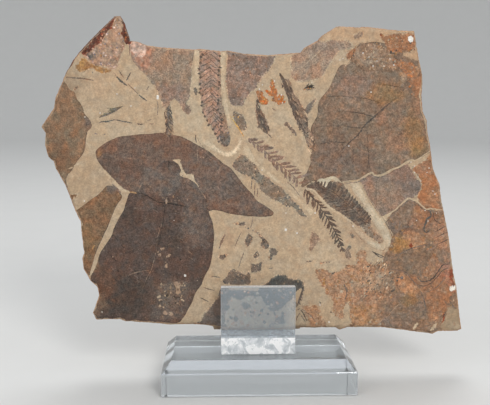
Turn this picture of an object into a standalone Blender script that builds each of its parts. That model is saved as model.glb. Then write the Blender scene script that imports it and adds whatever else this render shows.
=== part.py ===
"""A fossil slab of layered tan stone, standing in its clear acrylic stand.

Everything is in metres, +Z up, +X to the viewer's right and +Y to the back. The origin is the centre
of the underside of the stand's base, so the underside is the plane Z = 0.

The slab's broken outline is laid out on a drawing sheet of square cells that hangs between an eye and
the slab. A sheet place is a pair (column, row), counted from the sheet's top left corner, and
on_plane() carries it along its line of sight on to an upright plane of the slab.
"""

import math
import random

import bmesh
import bpy
from mathutils import Matrix, Vector

MM = 0.001

# Stand: a block with a bevelled top, and two uprights with a ledge block cemented between them.
BASE_WIDTH = 101.6 * MM
BASE_DEPTH = 50.8 * MM
BASE_SIDE_HEIGHT = 12.2 * MM
BASE_BEVEL_RISE = 5.7 * MM
BASE_BEVEL_INSET = 5.3 * MM
UPRIGHT_WIDTH = 39.2 * MM
UPRIGHT_HEIGHT = 36.8 * MM
UPRIGHT_THICKNESS = 4.2 * MM
UPRIGHT_SHIFT = -0.4 * MM
SLOT_WIDTH = 18.1 * MM
LEDGE_HEIGHT = 9.5 * MM
POLISHED_EDGE = 0.4 * MM
POLISH_SEGMENTS = 2
CEMENT_GAP = 0.3 * MM

# Slab: its thickness, and how far the broken sides draw in from the outline at each depth.
SLAB_THICKNESS = 11.2 * MM
SLAB_BACK_GAP = 0.35 * MM
SIDE_RINGS = (
    # depth behind the front face, inset from the outline
    (0.0 * MM, 0.9 * MM),
    (2.2 * MM, 0.2 * MM),
    (5.0 * MM, 0.0 * MM),
    (8.4 * MM, 0.4 * MM),
    (SLAB_THICKNESS, 1.5 * MM),
)
SIDE_ROUGHNESS = 0.35 * MM
SIDE_SEED = 7
NORMAL_REACH = 3
FOOT_OVERHANG = 4.0 * MM
FOOT_BAND = 4.0 * MM

# Heights and depths that follow from the sizes above.
BASE_TOP = BASE_SIDE_HEIGHT + BASE_BEVEL_RISE
LEDGE_TOP = BASE_TOP + LEDGE_HEIGHT
FOOT_Z = LEDGE_TOP + CEMENT_GAP
SLAB_BACK_Y = SLOT_WIDTH / 2 - SLAB_BACK_GAP
SLAB_FACE_Y = SLAB_BACK_Y - SLAB_THICKNESS

# Drawing sheet: the eye that it is seen from, how that eye is turned, and the sheet's distance from
# the eye in cells. The eye looks along +Y when all three angles are 0.
EYE = Vector((-19.1, -391.7, 154.4)) * MM
EYE_TURN_RIGHT = math.radians(1.76)
EYE_TIP_DOWN = math.radians(8.26)
EYE_ROLL = math.radians(0.10)
SHEET_DISTANCE = 746.0
SHEET_CENTRE = (245.0, 202.5)

# The slab's outline, clockwise from the peak at its top left corner.
PEAK_AND_TOP = (
    (114.5, 16.1), (120.6, 15.6), (125.2, 23.8), (129.3, 36.5), (130.3, 40.6), (138.0, 41.6),
    (147.1, 45.2), (162.4, 47.2), (193.0, 49.3), (199.4, 48.6), (220.8, 50.8), (227.4, 50.3),
    (243.3, 53.4), (267.8, 54.9), (300.4, 52.3), (303.5, 48.1), (317.0, 40.5), (322.3, 35.0),
    (328.7, 31.2), (336.0, 26.6), (339.0, 26.1), (359.7, 27.2), (363.1, 26.4), (397.6, 30.1),
)
RIGHT_SIDE = (
    (414.2, 30.7), (415.9, 39.8), (418.8, 58.2), (422.3, 74.3), (422.6, 83.5), (421.7, 94.9),
    (422.8, 111.0), (426.9, 120.2), (427.4, 131.7), (430.3, 145.5), (432.2, 161.7), (433.7, 170.0),
    (439.9, 184.6), (441.2, 198.7), (448.8, 235.7), (452.0, 262.4), (454.5, 277.8), (456.5, 286.7),
    (459.6, 314.7), (461.6, 329.0),
)
FOOT_OF_SLAB = (
    (457.6, 330.8), (438.1, 331.3), (432.3, 333.9), (404.8, 330.2), (381.8, 327.3), (347.4, 327.3),
    (339.4, 330.0), (334.8, 327.3), (314.1, 327.9), (295.7, 327.4), (275.0, 328.3), (240.0, 328.2),
    (218.9, 327.2), (204.2, 324.9), (190.2, 324.2), (169.1, 324.6), (146.0, 322.5), (124.9, 321.4),
    (120.0, 319.3), (96.0, 319.7),
)
LEFT_SIDE = (
    (92.8, 312.8), (98.8, 295.4), (97.0, 286.8), (90.1, 280.5), (83.5, 268.7), (82.1, 258.4),
    (84.0, 252.6), (81.3, 233.5), (80.6, 221.8), (75.5, 211.5), (65.2, 185.1), (55.7, 168.9),
    (53.5, 161.6), (48.2, 156.9), (44.6, 144.5), (45.5, 133.2), (41.0, 127.0), (50.2, 113.0),
    (53.8, 108.0), (55.3, 97.8), (65.5, 73.3), (73.7, 59.0), (81.8, 48.8), (97.1, 33.0),
)
SLAB_OUTLINE = PEAK_AND_TOP + RIGHT_SIDE + FOOT_OF_SLAB + LEFT_SIDE

# The broken facet at the peak: the outline of what is knocked off, and how its floor falls back.
FACET_OUTLINE = (
    (84.5, 54.5), (94.0, 65.5), (108.0, 70.5), (116.5, 67.5), (120.5, 58.5), (125.0, 46.0),
    (126.0, 36.0), (140.0, 10.0), (112.0, -10.0), (80.0, 20.0),
)
FACET_LOW_ROW = 71.0
FACET_DEPTH_AT_LOW_ROW = 0.5 * MM
FACET_FALL_PER_ROW = 0.075 * MM
FACET_CLEARANCE = 6.0 * MM

# Colour, roughness and transparency of the two materials.
STONE_COLOUR = (0.42, 0.31, 0.20, 1.0)
STONE_ROUGHNESS = 0.85
ACRYLIC_COLOUR = (0.93, 0.95, 0.96, 1.0)
ACRYLIC_ROUGHNESS = 0.06
ACRYLIC_IOR = 1.49


def clear_scene():
    for old in list(bpy.data.objects):
        bpy.data.objects.remove(old, do_unlink=True)


def principled(name, colour, roughness):
    """A new material and its Principled shader."""
    material = bpy.data.materials.new(name)
    material.use_nodes = True
    shader = material.node_tree.nodes["Principled BSDF"]
    shader.inputs["Base Color"].default_value = colour
    shader.inputs["Roughness"].default_value = roughness
    shader.inputs["Metallic"].default_value = 0.0
    return material, shader


def acrylic_material(name):
    material, shader = principled(name, ACRYLIC_COLOUR, ACRYLIC_ROUGHNESS)
    shader.inputs["Transmission Weight"].default_value = 1.0
    shader.inputs["IOR"].default_value = ACRYLIC_IOR
    return material


def add_object(name, mesh_builder, material):
    """Turns a finished bmesh into a named object of the scene."""
    bmesh.ops.recalc_face_normals(mesh_builder, faces=mesh_builder.faces[:])
    mesh = bpy.data.meshes.new(name)
    mesh_builder.to_mesh(mesh)
    mesh_builder.free()
    mesh.materials.append(material)
    made = bpy.data.objects.new(name, mesh)
    bpy.context.scene.collection.objects.link(made)
    return made


def polish_edges(made):
    """Small rounded edges, as flame polishing leaves on acrylic."""
    bevel = made.modifiers.new("polished_edges", "BEVEL")
    bevel.width = POLISHED_EDGE
    bevel.segments = POLISH_SEGMENTS
    bevel.limit_method = "ANGLE"


def loft(rings):
    """A closed body through rings of points, each with the same number of points."""
    body = bmesh.new()
    made = [[body.verts.new(point) for point in ring] for ring in rings]
    count = len(made[0])
    for near, far in zip(made, made[1:]):
        for here in range(count):
            after = (here + 1) % count
            body.faces.new((near[here], near[after], far[after], far[here]))
    body.faces.new(made[0])
    body.faces.new(tuple(reversed(made[-1])))
    return body


def rectangle(width, depth, height):
    half_x = width / 2
    half_y = depth / 2
    corners = ((-half_x, -half_y), (half_x, -half_y), (half_x, half_y), (-half_x, half_y))
    return [Vector((x, y, height)) for x, y in corners]


def make_base():
    top_width = BASE_WIDTH - 2 * BASE_BEVEL_INSET
    top_depth = BASE_DEPTH - 2 * BASE_BEVEL_INSET
    body = loft((
        rectangle(BASE_WIDTH, BASE_DEPTH, 0.0),
        rectangle(BASE_WIDTH, BASE_DEPTH, BASE_SIDE_HEIGHT),
        rectangle(top_width, top_depth, BASE_TOP),
    ))
    base = add_object("stand_base", body, acrylic_material("base_acrylic"))
    polish_edges(base)


def make_acrylic_block(name, width, depth, bottom, top, centre_y):
    """An upright block with polished edges, centred on the uprights' own middle line."""
    body = loft((rectangle(width, depth, 0.0), rectangle(width, depth, top - bottom)))
    block = add_object(name, body, acrylic_material(name + "_acrylic"))
    block.location = (UPRIGHT_SHIFT, centre_y, bottom)
    polish_edges(block)


def make_uprights():
    upright_y = (SLOT_WIDTH + UPRIGHT_THICKNESS) / 2
    upright_top = BASE_TOP + UPRIGHT_HEIGHT
    for name, centre_y in (("front_plate", -upright_y), ("back_plate", upright_y)):
        make_acrylic_block(
            name, UPRIGHT_WIDTH, UPRIGHT_THICKNESS, BASE_TOP + CEMENT_GAP, upright_top, centre_y
        )


def make_ledge():
    ledge_depth = SLOT_WIDTH - 2 * CEMENT_GAP
    make_acrylic_block(
        "ledge_block", UPRIGHT_WIDTH, ledge_depth, BASE_TOP + CEMENT_GAP, LEDGE_TOP, 0.0
    )


def eye_axes():
    """The eye's right, up and forward directions."""
    forward = Vector((
        math.sin(EYE_TURN_RIGHT) * math.cos(EYE_TIP_DOWN),
        math.cos(EYE_TURN_RIGHT) * math.cos(EYE_TIP_DOWN),
        -math.sin(EYE_TIP_DOWN),
    ))
    level_right = Vector((math.cos(EYE_TURN_RIGHT), -math.sin(EYE_TURN_RIGHT), 0.0))
    roll = Matrix.Rotation(-EYE_ROLL, 3, forward)
    right = roll @ level_right
    up = roll @ level_right.cross(forward)
    return right, up, forward


def on_plane(place, plane_y):
    """Where the line of sight through a sheet place meets the upright plane Y = plane_y."""
    right, up, forward = eye_axes()
    column, row = place
    across = (column - SHEET_CENTRE[0]) / SHEET_DISTANCE
    raised = (SHEET_CENTRE[1] - row) / SHEET_DISTANCE
    sight = forward + across * right + raised * up
    return EYE + sight * ((plane_y - EYE.y) / sight.y)


def inward_normals(points):
    """For each point of a clockwise outline in X and Z, the direction that leads into the slab."""
    count = len(points)
    normals = []
    for here in range(count):
        along = points[(here + NORMAL_REACH) % count] - points[here - NORMAL_REACH]
        normals.append(Vector((-along.z, 0.0, along.x)).normalized() * -1.0)
    return normals


def settle_foot(point, depth):
    """Brings the underside over the ledge down, or up, to the flat that the slab stands on."""
    over_ledge = abs(point.x - UPRIGHT_SHIFT) < UPRIGHT_WIDTH / 2 + FOOT_OVERHANG
    if over_ledge and abs(point.z - FOOT_Z) < FOOT_BAND:
        first_bearing_depth = SIDE_RINGS[2][0]
        last_bearing_depth = SIDE_RINGS[3][0]
        if first_bearing_depth <= depth <= last_bearing_depth or point.z < FOOT_Z:
            point.z = FOOT_Z
    return point


def make_slab():
    chance = random.Random(SIDE_SEED)
    rings = []
    for depth, inset in SIDE_RINGS:
        plane = [on_plane(place, SLAB_FACE_Y + depth) for place in SLAB_OUTLINE]
        ring = []
        for point, inward in zip(plane, inward_normals(plane)):
            rough = chance.uniform(0.0, SIDE_ROUGHNESS)
            ring.append(settle_foot(point + inward * (inset + rough), depth))
        rings.append(ring)
    material, _ = principled("tan_stone", STONE_COLOUR, STONE_ROUGHNESS)
    slab = add_object("fossil_plate", loft(rings), material)
    knocked_off = make_facet_cutter()
    cut = slab.modifiers.new("broken_facet", "BOOLEAN")
    cut.operation = "DIFFERENCE"
    cut.solver = "EXACT"
    cut.object = knocked_off


def make_facet_cutter():
    """What is missing at the peak: a prism whose floor falls away from the face towards the tip."""
    lid = [on_plane(place, SLAB_FACE_Y - FACET_CLEARANCE) for place in FACET_OUTLINE]
    floor = []
    for place in FACET_OUTLINE:
        rows_up = FACET_LOW_ROW - place[1]
        depth = FACET_DEPTH_AT_LOW_ROW + FACET_FALL_PER_ROW * rows_up
        floor.append(on_plane(place, SLAB_FACE_Y + depth))
    material, _ = principled("knocked_off", STONE_COLOUR, STONE_ROUGHNESS)
    cutter = add_object("facet_cutter", loft((lid, floor)), material)
    cutter.hide_render = True
    cutter.display_type = "WIRE"
    return cutter


def main():
    clear_scene()
    make_base()
    make_uprights()
    make_ledge()
    make_slab()


main()
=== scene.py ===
"""Looks of a slab of layered tan stone with leaf and shoot fossils, standing in a clear acrylic stand.

The slab is one closed mesh in place of the CAD solid fossil_plate. Its leaf side is laid out on the
same drawing sheet as the CAD outline: square cells between an eye and the slab, about half a
millimetre wide on the stone. A place is (column, row), counted from the sheet's top left corner, and
sheet_to_world() carries it along its line of sight to any depth behind the slab's face. Lengths are in
metres, or in sheet cells where a comment says so. Depths grow from the leaf side to the back.
"""
import math
import random
from collections import namedtuple

import bpy
import numpy as np
from mathutils import Matrix, Vector, noise
from mathutils.geometry import delaunay_2d_cdt


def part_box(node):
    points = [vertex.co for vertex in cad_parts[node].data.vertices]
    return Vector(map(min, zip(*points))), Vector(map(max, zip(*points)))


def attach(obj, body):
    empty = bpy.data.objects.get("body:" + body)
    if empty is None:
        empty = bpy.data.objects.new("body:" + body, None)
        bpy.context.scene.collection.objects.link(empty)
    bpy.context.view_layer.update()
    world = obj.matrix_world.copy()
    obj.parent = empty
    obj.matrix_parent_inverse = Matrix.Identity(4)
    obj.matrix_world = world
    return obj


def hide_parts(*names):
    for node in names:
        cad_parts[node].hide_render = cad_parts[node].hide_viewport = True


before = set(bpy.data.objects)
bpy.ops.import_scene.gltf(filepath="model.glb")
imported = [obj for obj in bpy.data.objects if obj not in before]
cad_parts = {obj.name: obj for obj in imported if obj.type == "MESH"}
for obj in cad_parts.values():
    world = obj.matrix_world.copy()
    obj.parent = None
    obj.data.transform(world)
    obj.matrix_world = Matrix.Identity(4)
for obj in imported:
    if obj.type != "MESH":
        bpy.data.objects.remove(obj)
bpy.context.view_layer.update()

SLAB_BOX = [list(corner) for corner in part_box("fossil_plate")]
MM = 0.001

# ---------------------------------------------------------------- drawing sheet, as in the CAD source
EYE = Vector((-19.1, -391.7, 154.4)) * MM
EYE_TURN_RIGHT = math.radians(1.76)
EYE_TIP_DOWN = math.radians(8.26)
EYE_ROLL = math.radians(0.10)
SHEET_DISTANCE = 746.0
SHEET_CENTRE = (245.0, 202.5)
SHEET_WIDTH = 490.0

SLAB_THICKNESS = 11.2 * MM
SLAB_FACE_Y = -2.5 * MM
FOOT_Z = 27.7 * MM
STAND_MIDDLE_X = -0.4 * MM
FOOT_HALF_WIDTH = 23.6 * MM
FOOT_BAND = 4.0 * MM
BEARING_FROM = 2.9 * MM
BEARING_TO = 8.2 * MM
CELL = 0.52 * MM

PEAK_AND_TOP = (
    (114.5, 16.1), (120.6, 15.6), (125.2, 23.8), (129.3, 36.5), (130.3, 40.6), (138.0, 41.6),
    (147.1, 45.2), (162.4, 47.2), (193.0, 49.3), (199.4, 48.6), (220.8, 50.8), (227.4, 50.3),
    (243.3, 53.4), (267.8, 54.9), (300.4, 52.3), (303.5, 48.1), (317.0, 40.5), (322.3, 35.0),
    (328.7, 31.2), (336.0, 26.6), (339.0, 26.1), (359.7, 27.2), (363.1, 26.4), (397.6, 30.1),
)
RIGHT_SIDE = (
    (414.2, 30.7), (415.9, 39.8), (418.8, 58.2), (422.3, 74.3), (422.6, 83.5), (421.7, 94.9),
    (422.8, 111.0), (426.9, 120.2), (427.4, 131.7), (430.3, 145.5), (432.2, 161.7), (433.7, 170.0),
    (439.9, 184.6), (441.2, 198.7), (448.8, 235.7), (452.0, 262.4), (454.5, 277.8), (456.5, 286.7),
    (459.6, 314.7), (461.6, 329.0),
)
FOOT_OF_SLAB = (
    (457.6, 330.8), (438.1, 331.3), (432.3, 333.9), (404.8, 330.2), (381.8, 327.3), (347.4, 327.3),
    (339.4, 330.0), (334.8, 327.3), (314.1, 327.9), (295.7, 327.4), (275.0, 328.3), (240.0, 328.2),
    (218.9, 327.2), (204.2, 324.9), (190.2, 324.2), (169.1, 324.6), (146.0, 322.5), (124.9, 321.4),
    (120.0, 319.3), (96.0, 319.7),
)
LEFT_SIDE = (
    (92.8, 312.8), (98.8, 295.4), (97.0, 286.8), (90.1, 280.5), (83.5, 268.7), (82.1, 258.4),
    (84.0, 252.6), (81.3, 233.5), (80.6, 221.8), (75.5, 211.5), (65.2, 185.1), (55.7, 168.9),
    (53.5, 161.6), (48.2, 156.9), (44.6, 144.5), (45.5, 133.2), (41.0, 127.0), (50.2, 113.0),
    (53.8, 108.0), (55.3, 97.8), (65.5, 73.3), (73.7, 59.0), (81.8, 48.8), (97.1, 33.0),
)
SLAB_OUTLINE = PEAK_AND_TOP + RIGHT_SIDE + FOOT_OF_SLAB + LEFT_SIDE

# ---------------------------------------------------------------- how finely the slab is modelled
GRID_PITCH = 3.1
BACK_PITCH = 6.0
OUTLINE_STEP = 1.25
SHAPE_STEP = 1.6
CDT_WHOLE = 0
CDT_EPSILON = 1e-4
# A line or needle is drawn this much wider than it looks, because its edges fray.
LINE_SPREAD = 1.75
CHIP_CORNERS = 5
# Noise: how far each seed moves it, how fast its finer octaves fade, and how much finer each one is.
SEED_SHIFT = 37.7
NOISE_ROUGHNESS = 0.6
NOISE_STEP = 2.1

# Facet at the broken corner, as in the CAD source: how its floor falls back towards the tip.
FACET_LOW_ROW = 71.0
FACET_DEPTH_AT_LOW_ROW = 0.5 * MM
FACET_FALL_PER_ROW = 0.075 * MM
FACET_ROUGHNESS = 0.55 * MM

# Broken sides: (depth, inset from the outline, how much it wanders), all in mm, a row for each ring.
SIDE_LAMINAE = (
    (0.55, 0.35, 0.35), (1.25, 0.10, 0.25), (1.40, 0.00, 0.05), (2.70, 0.00, 0.05),
    (2.95, 0.25, 0.45), (4.30, 0.20, 0.45), (4.50, 0.00, 0.30), (6.10, 0.05, 0.30),
    (6.35, 0.45, 0.60), (7.90, 0.40, 0.60), (8.15, 0.15, 0.45), (9.60, 0.30, 0.45),
    (9.85, 0.75, 0.60), (11.20, 1.30, 0.60),
)
FACE_INSET = 0.55
FACE_INSET_WANDER = 0.55


def srgb(red, green, blue):
    """A colour given as 0 to 255 display values, as the linear values that shaders take."""
    def linear(value):
        share = value / 255
        return share / 12.92 if share <= 0.04045 else ((share + 0.055) / 1.055) ** 2.4
    return (linear(red), linear(green), linear(blue))


# ---------------------------------------------------------------- colours
TAN = srgb(180, 158, 132)
TAN_LEFT = srgb(171, 149, 124)
TAN_WARM = srgb(183, 152, 122)
TAN_LIGHT = srgb(187, 167, 141)
CREAM = srgb(196, 176, 149)
CREAM_BRIGHT = srgb(212, 192, 164)
CREAM_DULL = srgb(181, 162, 139)
RIDGE_BRIGHT = srgb(226, 205, 176)
OCHRE = srgb(166, 124, 78)
OCHRE_DEEP = srgb(150, 112, 66)
ORANGE = srgb(188, 116, 66)
ORANGE_VIVID = srgb(204, 104, 42)
RUST = srgb(158, 113, 83)
RUST_PINK = srgb(168, 127, 101)
RUST_RED = srgb(134, 66, 42)
STAIN_TAN = srgb(174, 141, 113)
PINK_WHITE = srgb(198, 168, 147)
PINK_RED = srgb(172, 116, 90)
PINK_RUST = srgb(178, 126, 98)
PINK_BRIGHT = srgb(208, 176, 156)
PLUM_BROWN = srgb(90, 74, 66)
FILM_GREY = srgb(112, 99, 90)
FILM_DARK = srgb(76, 65, 58)
FILM_BROWN = srgb(114, 92, 79)
FILM_UMBER = srgb(132, 108, 86)
FILM_OLIVE = srgb(124, 98, 75)
FILM_PALE = srgb(149, 127, 108)
FILM_MAUVE = srgb(140, 118, 104)
LEAF_TAN = srgb(158, 133, 113)
BROWN_GREY = srgb(128, 108, 91)
BROWN_WARM = srgb(136, 110, 90)
NEEDLE_BLACK = srgb(66, 57, 51)
NEEDLE_DARK = srgb(84, 72, 63)
NEEDLE_BROWN = srgb(118, 99, 85)
NEEDLE_LIGHT = srgb(143, 121, 102)
STAIN_ORANGE = srgb(180, 137, 104)
STAIN_SOLID = srgb(176, 138, 109)
RUST_DARK = srgb(105, 76, 60)
CRACK = srgb(56, 49, 44)
PALE_PINK = srgb(214, 188, 174)
BLUE_GREY = srgb(120, 117, 122)
SLATE_SOFT = srgb(112, 104, 98)
FROND_PINK = srgb(164, 134, 116)
NEEDLE_SOFT = srgb(102, 89, 79)
NEEDLE_GREY = srgb(128, 112, 97)
TWIG_TAN = srgb(146, 126, 104)
OLIVE_GREY = srgb(118, 107, 84)
GOLD = srgb(190, 152, 88)
LUMP_GREY = srgb(118, 105, 94)
STRIP_GREY = srgb(130, 117, 102)
BLOB_PALE = srgb(202, 189, 164)
WORN_TINT = srgb(104, 91, 81)
TAN_CORNER_TINT = srgb(158, 138, 114)
TRACK_PALE = srgb(195, 179, 155)
SLATE = srgb(92, 88, 82)
INK = srgb(84, 76, 70)
INK_SOFT = srgb(118, 104, 92)
RIND_RED = srgb(92, 50, 34)
WHITE = srgb(236, 228, 214)

KINDS = ("stone", "film", "cream", "crust", "facet", "rind", "glint", "side", "back")
STONE, FILM, CREAM_KIND, CRUST, FACET, RIND, GLINT, SIDE, BACK = range(len(KINDS))

# ---------------------------------------------------------------- shapes on the leaf side
RIGHT_GROUND = (
    (352, 340), (347, 329), (352, 321), (351, 311), (349, 301), (352, 295), (351, 285), (358, 280),
    (364, 279), (370, 271), (379, 268), (384, 261), (382, 256), (383, 251), (388, 248), (391, 243),
    (391, 236), (389, 228), (387, 222), (386, 217), (395, 210), (400, 205.5), (405, 201), (409, 198),
    (417, 201), (423, 206.5), (432, 208.5), (446, 210), (470, 210), (475, 340),
)
RIGHT_EDGE_RUST = (
    (417, 197), (421, 186), (419, 179), (415, 173), (411, 168), (416, 165), (424, 160), (430, 154),
    (440, 160), (450, 190), (452, 211), (432, 208.5), (426, 209), (420, 204),
)
TAN_CORNER = (
    (447, 306), (453, 307), (458, 309), (466, 315), (468, 334), (458, 335), (448, 334), (441, 329),
    (440, 325), (443, 321), (446, 311),
)
LEAF_F = (
    (347.5, 64.5), (342, 65), (338, 69), (335.5, 75), (333, 80), (331, 85), (328, 90), (320, 100),
    (318, 106), (318, 112), (317.5, 116), (315, 120), (312, 126), (311, 130), (313, 134), (314, 138),
    (315, 142), (313, 148), (312, 152), (310.5, 157), (311, 162), (309, 168), (306, 175), (303, 182),
    (302, 187), (312, 181), (322, 180), (332, 176), (343, 182), (352, 180.5), (358, 180),
    (364, 176.5), (371, 173), (375, 175), (384, 174), (393, 169), (399, 167), (408, 161), (412, 160),
    (420, 158), (426, 154), (431, 151), (436, 130), (430, 100), (426, 70), (418, 60), (410, 52),
    (398, 47), (386, 44), (376, 42), (368, 43), (360, 45), (355, 50), (352, 57),
)
LEAF_G = (
    (360, 180), (366, 177), (370, 175), (377, 177), (384, 175.5), (390, 172), (397, 168), (402, 166),
    (407, 164), (411, 168), (414, 173), (418, 179), (421, 184), (420, 190), (417, 196), (413, 198.5),
    (408, 198), (404, 201), (399, 206), (393, 211), (387, 214), (382, 216), (377, 212), (373, 206),
    (369, 199), (365, 191), (362, 185),
)
LEAF_D = (
    (292, 55), (290, 60), (290.5, 70), (290, 76), (294, 80), (297, 82.5), (304, 82), (311, 81),
    (318, 79), (322, 77), (325, 74), (328, 68), (332, 62), (336, 56), (340, 51), (350, 49.5),
    (353, 45), (349, 40.5), (340, 39.5), (333, 39), (325, 41), (316.7, 40), (309, 44), (302, 47),
    (299, 50),
)
LEAF_B = (
    (228, 46), (227, 56), (226, 65), (225.5, 76), (225.5, 85), (227, 95), (229, 101), (232, 106),
    (238, 106.5), (243.5, 106), (246, 99), (251, 93), (256, 89), (258, 84), (263, 76), (269, 70),
    (274, 61), (277, 54), (278, 48),
)
UPPER_MID_LEAF = (
    (131, 36), (131, 46), (131, 52), (131, 58), (138, 68), (146, 76), (151, 83), (156, 89),
    (158, 95), (161, 101), (163, 108), (170, 108), (171, 102), (174, 100), (177, 101), (180, 106),
    (183, 111), (186, 115), (189, 115), (191.5, 111), (190, 106), (187, 103), (190, 99),
    (190.5, 95), (191.5, 83), (192, 75), (193, 60), (193.5, 44),
)
WORN_PATCH = (
    (152, 284), (166, 279), (182, 276), (193, 281), (192, 296), (186, 306), (176, 314), (160, 312),
    (152, 300),
)
PINK_CORE = ((128, 38), (137, 39), (145, 42), (148, 50), (144, 57), (136, 58), (130, 50))
PINK_PATCH = (
    (130, 38), (138, 39), (147, 43), (152, 46), (152.5, 60), (149, 70), (142, 71), (136, 65),
    (131, 58),
)
LEFT_EDGE_LEAF = (
    (62, 80), (66, 84), (70, 90), (74, 92), (77, 99), (80, 103), (83, 109), (84, 113), (86, 116),
    (89, 119), (91, 123), (91.5, 126), (90, 129), (87.5, 131), (86.5, 135), (85.5, 141), (85, 147),
    (83.5, 152), (81, 156), (78, 160), (75, 164), (73.5, 167), (71, 171), (68, 174), (66, 178),
    (66, 183), (67, 188), (56, 190), (36, 150), (34, 125), (46, 100), (55, 82),
)
STRIP_LEAF = (
    (75.5, 211), (80, 208), (86, 203.5), (92, 199), (98, 195), (103, 190), (107, 186), (111, 186),
    (114, 187), (117, 190), (120, 193.5), (122, 196), (121, 199), (118, 203), (115, 208), (113, 213),
    (111, 218), (109, 223), (107, 228), (104, 234), (101, 241), (98, 247), (96, 252), (94, 258),
    (92, 265), (90, 272), (89, 275), (76, 272), (72, 240), (70, 215),
)
LANCE_LEAF = (
    (98.5, 148), (102, 145.5), (107, 142), (115, 138.5), (120, 136.7), (132, 135.5), (140, 134.5),
    (152, 134), (158, 133), (165, 133.3), (176, 135.5), (182, 137), (190, 141), (198, 145.5),
    (207, 150.5), (213, 155), (219, 160), (223, 163.5), (230, 168), (236, 175), (242, 183),
    (248, 190), (252, 194), (257, 201), (262, 204), (268, 208), (273.4, 213), (270, 216), (250, 216),
    (240, 215), (228, 213), (222, 211), (211, 210), (204, 214), (180, 205), (150, 198), (137, 193.5),
    (129, 191), (123, 189), (113, 180), (110, 177), (107, 173), (101, 165), (98, 161), (96.5, 157),
    (96, 151),
)
BROAD_LEAF = (
    (155, 168), (160, 164), (165, 161), (170, 161.5), (175, 162), (178, 164), (180, 167), (181, 171),
    (179.5, 174), (180, 176), (188, 178), (195, 182.5), (197, 186), (200, 190), (206, 199),
    (208, 208), (209, 214), (212, 221), (213.5, 229), (214, 237), (213, 247), (212, 256), (209, 268),
    (205, 275), (203, 280), (201, 285), (197, 290), (194, 296), (192, 302), (188, 309), (185, 315),
    (182, 319), (179, 322), (165, 326), (140, 330), (110, 330), (85, 325), (84, 300), (84, 284),
    (90, 280), (91, 276), (94, 271), (97, 264), (99, 257), (101, 252), (105, 246), (109, 240),
    (112, 235), (114, 229), (117, 222), (121, 215), (124, 210), (125, 206), (127, 200), (130, 193),
    (138.3, 191), (145, 179),
)
CREAM_NOTCH = (
    (172, 160), (176, 158.5), (180.5, 159.5), (182, 166), (184, 170), (186, 173.5), (193, 174),
    (196, 182), (199, 187), (195, 183), (188, 178.5), (180, 176), (179.5, 174), (181, 171),
    (180, 167), (178, 164), (175, 162),
)
STRIP_K = (
    (241, 153.5), (246, 156), (249, 160), (254, 163), (257, 167), (262, 174), (267, 176), (270, 179),
    (273, 182), (280, 186), (284, 189), (287, 193), (294, 200), (298, 205), (303, 210), (306, 215),
    (308, 217), (300, 216), (297, 213), (294, 209), (291, 207), (285, 206), (278, 202), (271, 199),
    (268, 196), (264, 194), (261, 191), (259, 188), (258, 184), (252, 179), (247, 176), (243, 176),
    (240, 173), (236, 170), (232, 167), (232, 164), (235, 160), (239, 156),
)
FROND_A_BED = (
    (199.5, 44), (199.5, 60), (199.5, 90), (201, 100), (202, 110), (205, 117), (208, 122), (212, 130),
    (216, 137), (221, 145), (226, 147), (230, 143), (230, 135), (227.5, 125), (225.5, 115), (223, 105),
    (221.5, 95), (221, 80), (221, 44),
)
TRACK_A = (
    (221, 44), (220.5, 80), (222, 95), (223, 105), (226, 118), (228, 126), (232, 126), (231, 118),
    (229.5, 110), (228, 100), (226, 92), (225.5, 80), (226, 60), (227, 44),
)
STRIP_BESIDE_A = ((194.5, 46), (199.5, 46), (199.3, 66), (198.5, 84), (195.5, 84), (193.7, 70))
U_RIDGE = (
    (199, 134), (200, 140), (203, 146), (209, 149), (214, 152), (220, 155.5), (226, 158), (232, 157.5),
    (238, 153), (242, 146), (243, 140), (239, 136), (237, 141), (234, 147), (230, 150), (226, 150.5),
    (220, 148), (214, 143), (207, 138.5), (203, 135),
)
TRACK_I = (
    (246, 143), (252, 152), (257, 160), (264, 167), (270, 172), (280, 180), (290, 189), (300, 198),
    (308, 205), (314, 210), (312, 216), (303, 209), (294, 199), (286, 190), (276, 183), (266, 175),
    (257, 167), (250, 161), (243, 152),
)
CREAM_BLOB = (
    (317, 181), (320, 178), (324, 178.5), (328, 177), (332, 176), (336, 177), (340, 180), (341, 182),
    (338, 183), (334, 180.5), (330, 181), (328, 184), (327, 188), (322, 185), (319, 183),
)
TRACK_H = (
    (350, 184), (355, 195), (360, 201), (365, 209), (370, 217), (373, 223), (378, 230), (382, 237),
    (383, 242), (380, 244), (374, 241), (366, 234), (358, 229), (352, 224), (353, 229), (358, 236),
    (364, 241), (370, 246), (375, 249), (380, 251), (385, 250), (390, 246), (391.5, 241), (390, 235),
    (388, 229), (384, 223), (380, 217), (376, 211), (371, 204), (366, 195), (362, 187), (359, 181),
    (354, 180.5),
)
FROND_H_BED = (
    (306, 188), (312, 182), (320, 184), (328, 188), (330, 184), (335, 181), (342, 182), (345, 186),
    (349, 191), (352, 197), (356, 200), (362, 207), (366.5, 211), (371.6, 224), (364, 228),
    (355, 225), (350, 223), (343, 217), (336, 212), (330, 208), (325, 202), (320, 196), (314, 191),
)
TAIL_H = (
    (362, 226), (370, 225), (375, 230), (381, 236), (383, 242), (379, 244), (373, 239), (365, 233),
)
TWIG_C = (
    (257.5, 94), (258, 100), (260, 108), (263, 113), (266, 117), (268, 121), (269, 126), (269, 132),
    (267, 134), (263, 132), (260, 129), (258.5, 132), (257, 125), (256, 118), (255, 110), (256.5, 103),
)
TWIG_E = (
    (279, 72), (281, 75), (285, 78), (289, 79), (292, 86), (294, 92), (298, 98), (301, 103),
    (304, 107), (306, 113), (309, 119), (308, 124), (310, 130), (314, 134), (315, 138), (314, 145),
    (312, 150), (310, 149), (307, 144), (305, 138), (302, 131), (299, 126), (297, 120), (294, 113),
    (292, 107), (289, 99), (287, 91), (284, 84), (281, 78),
)
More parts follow.
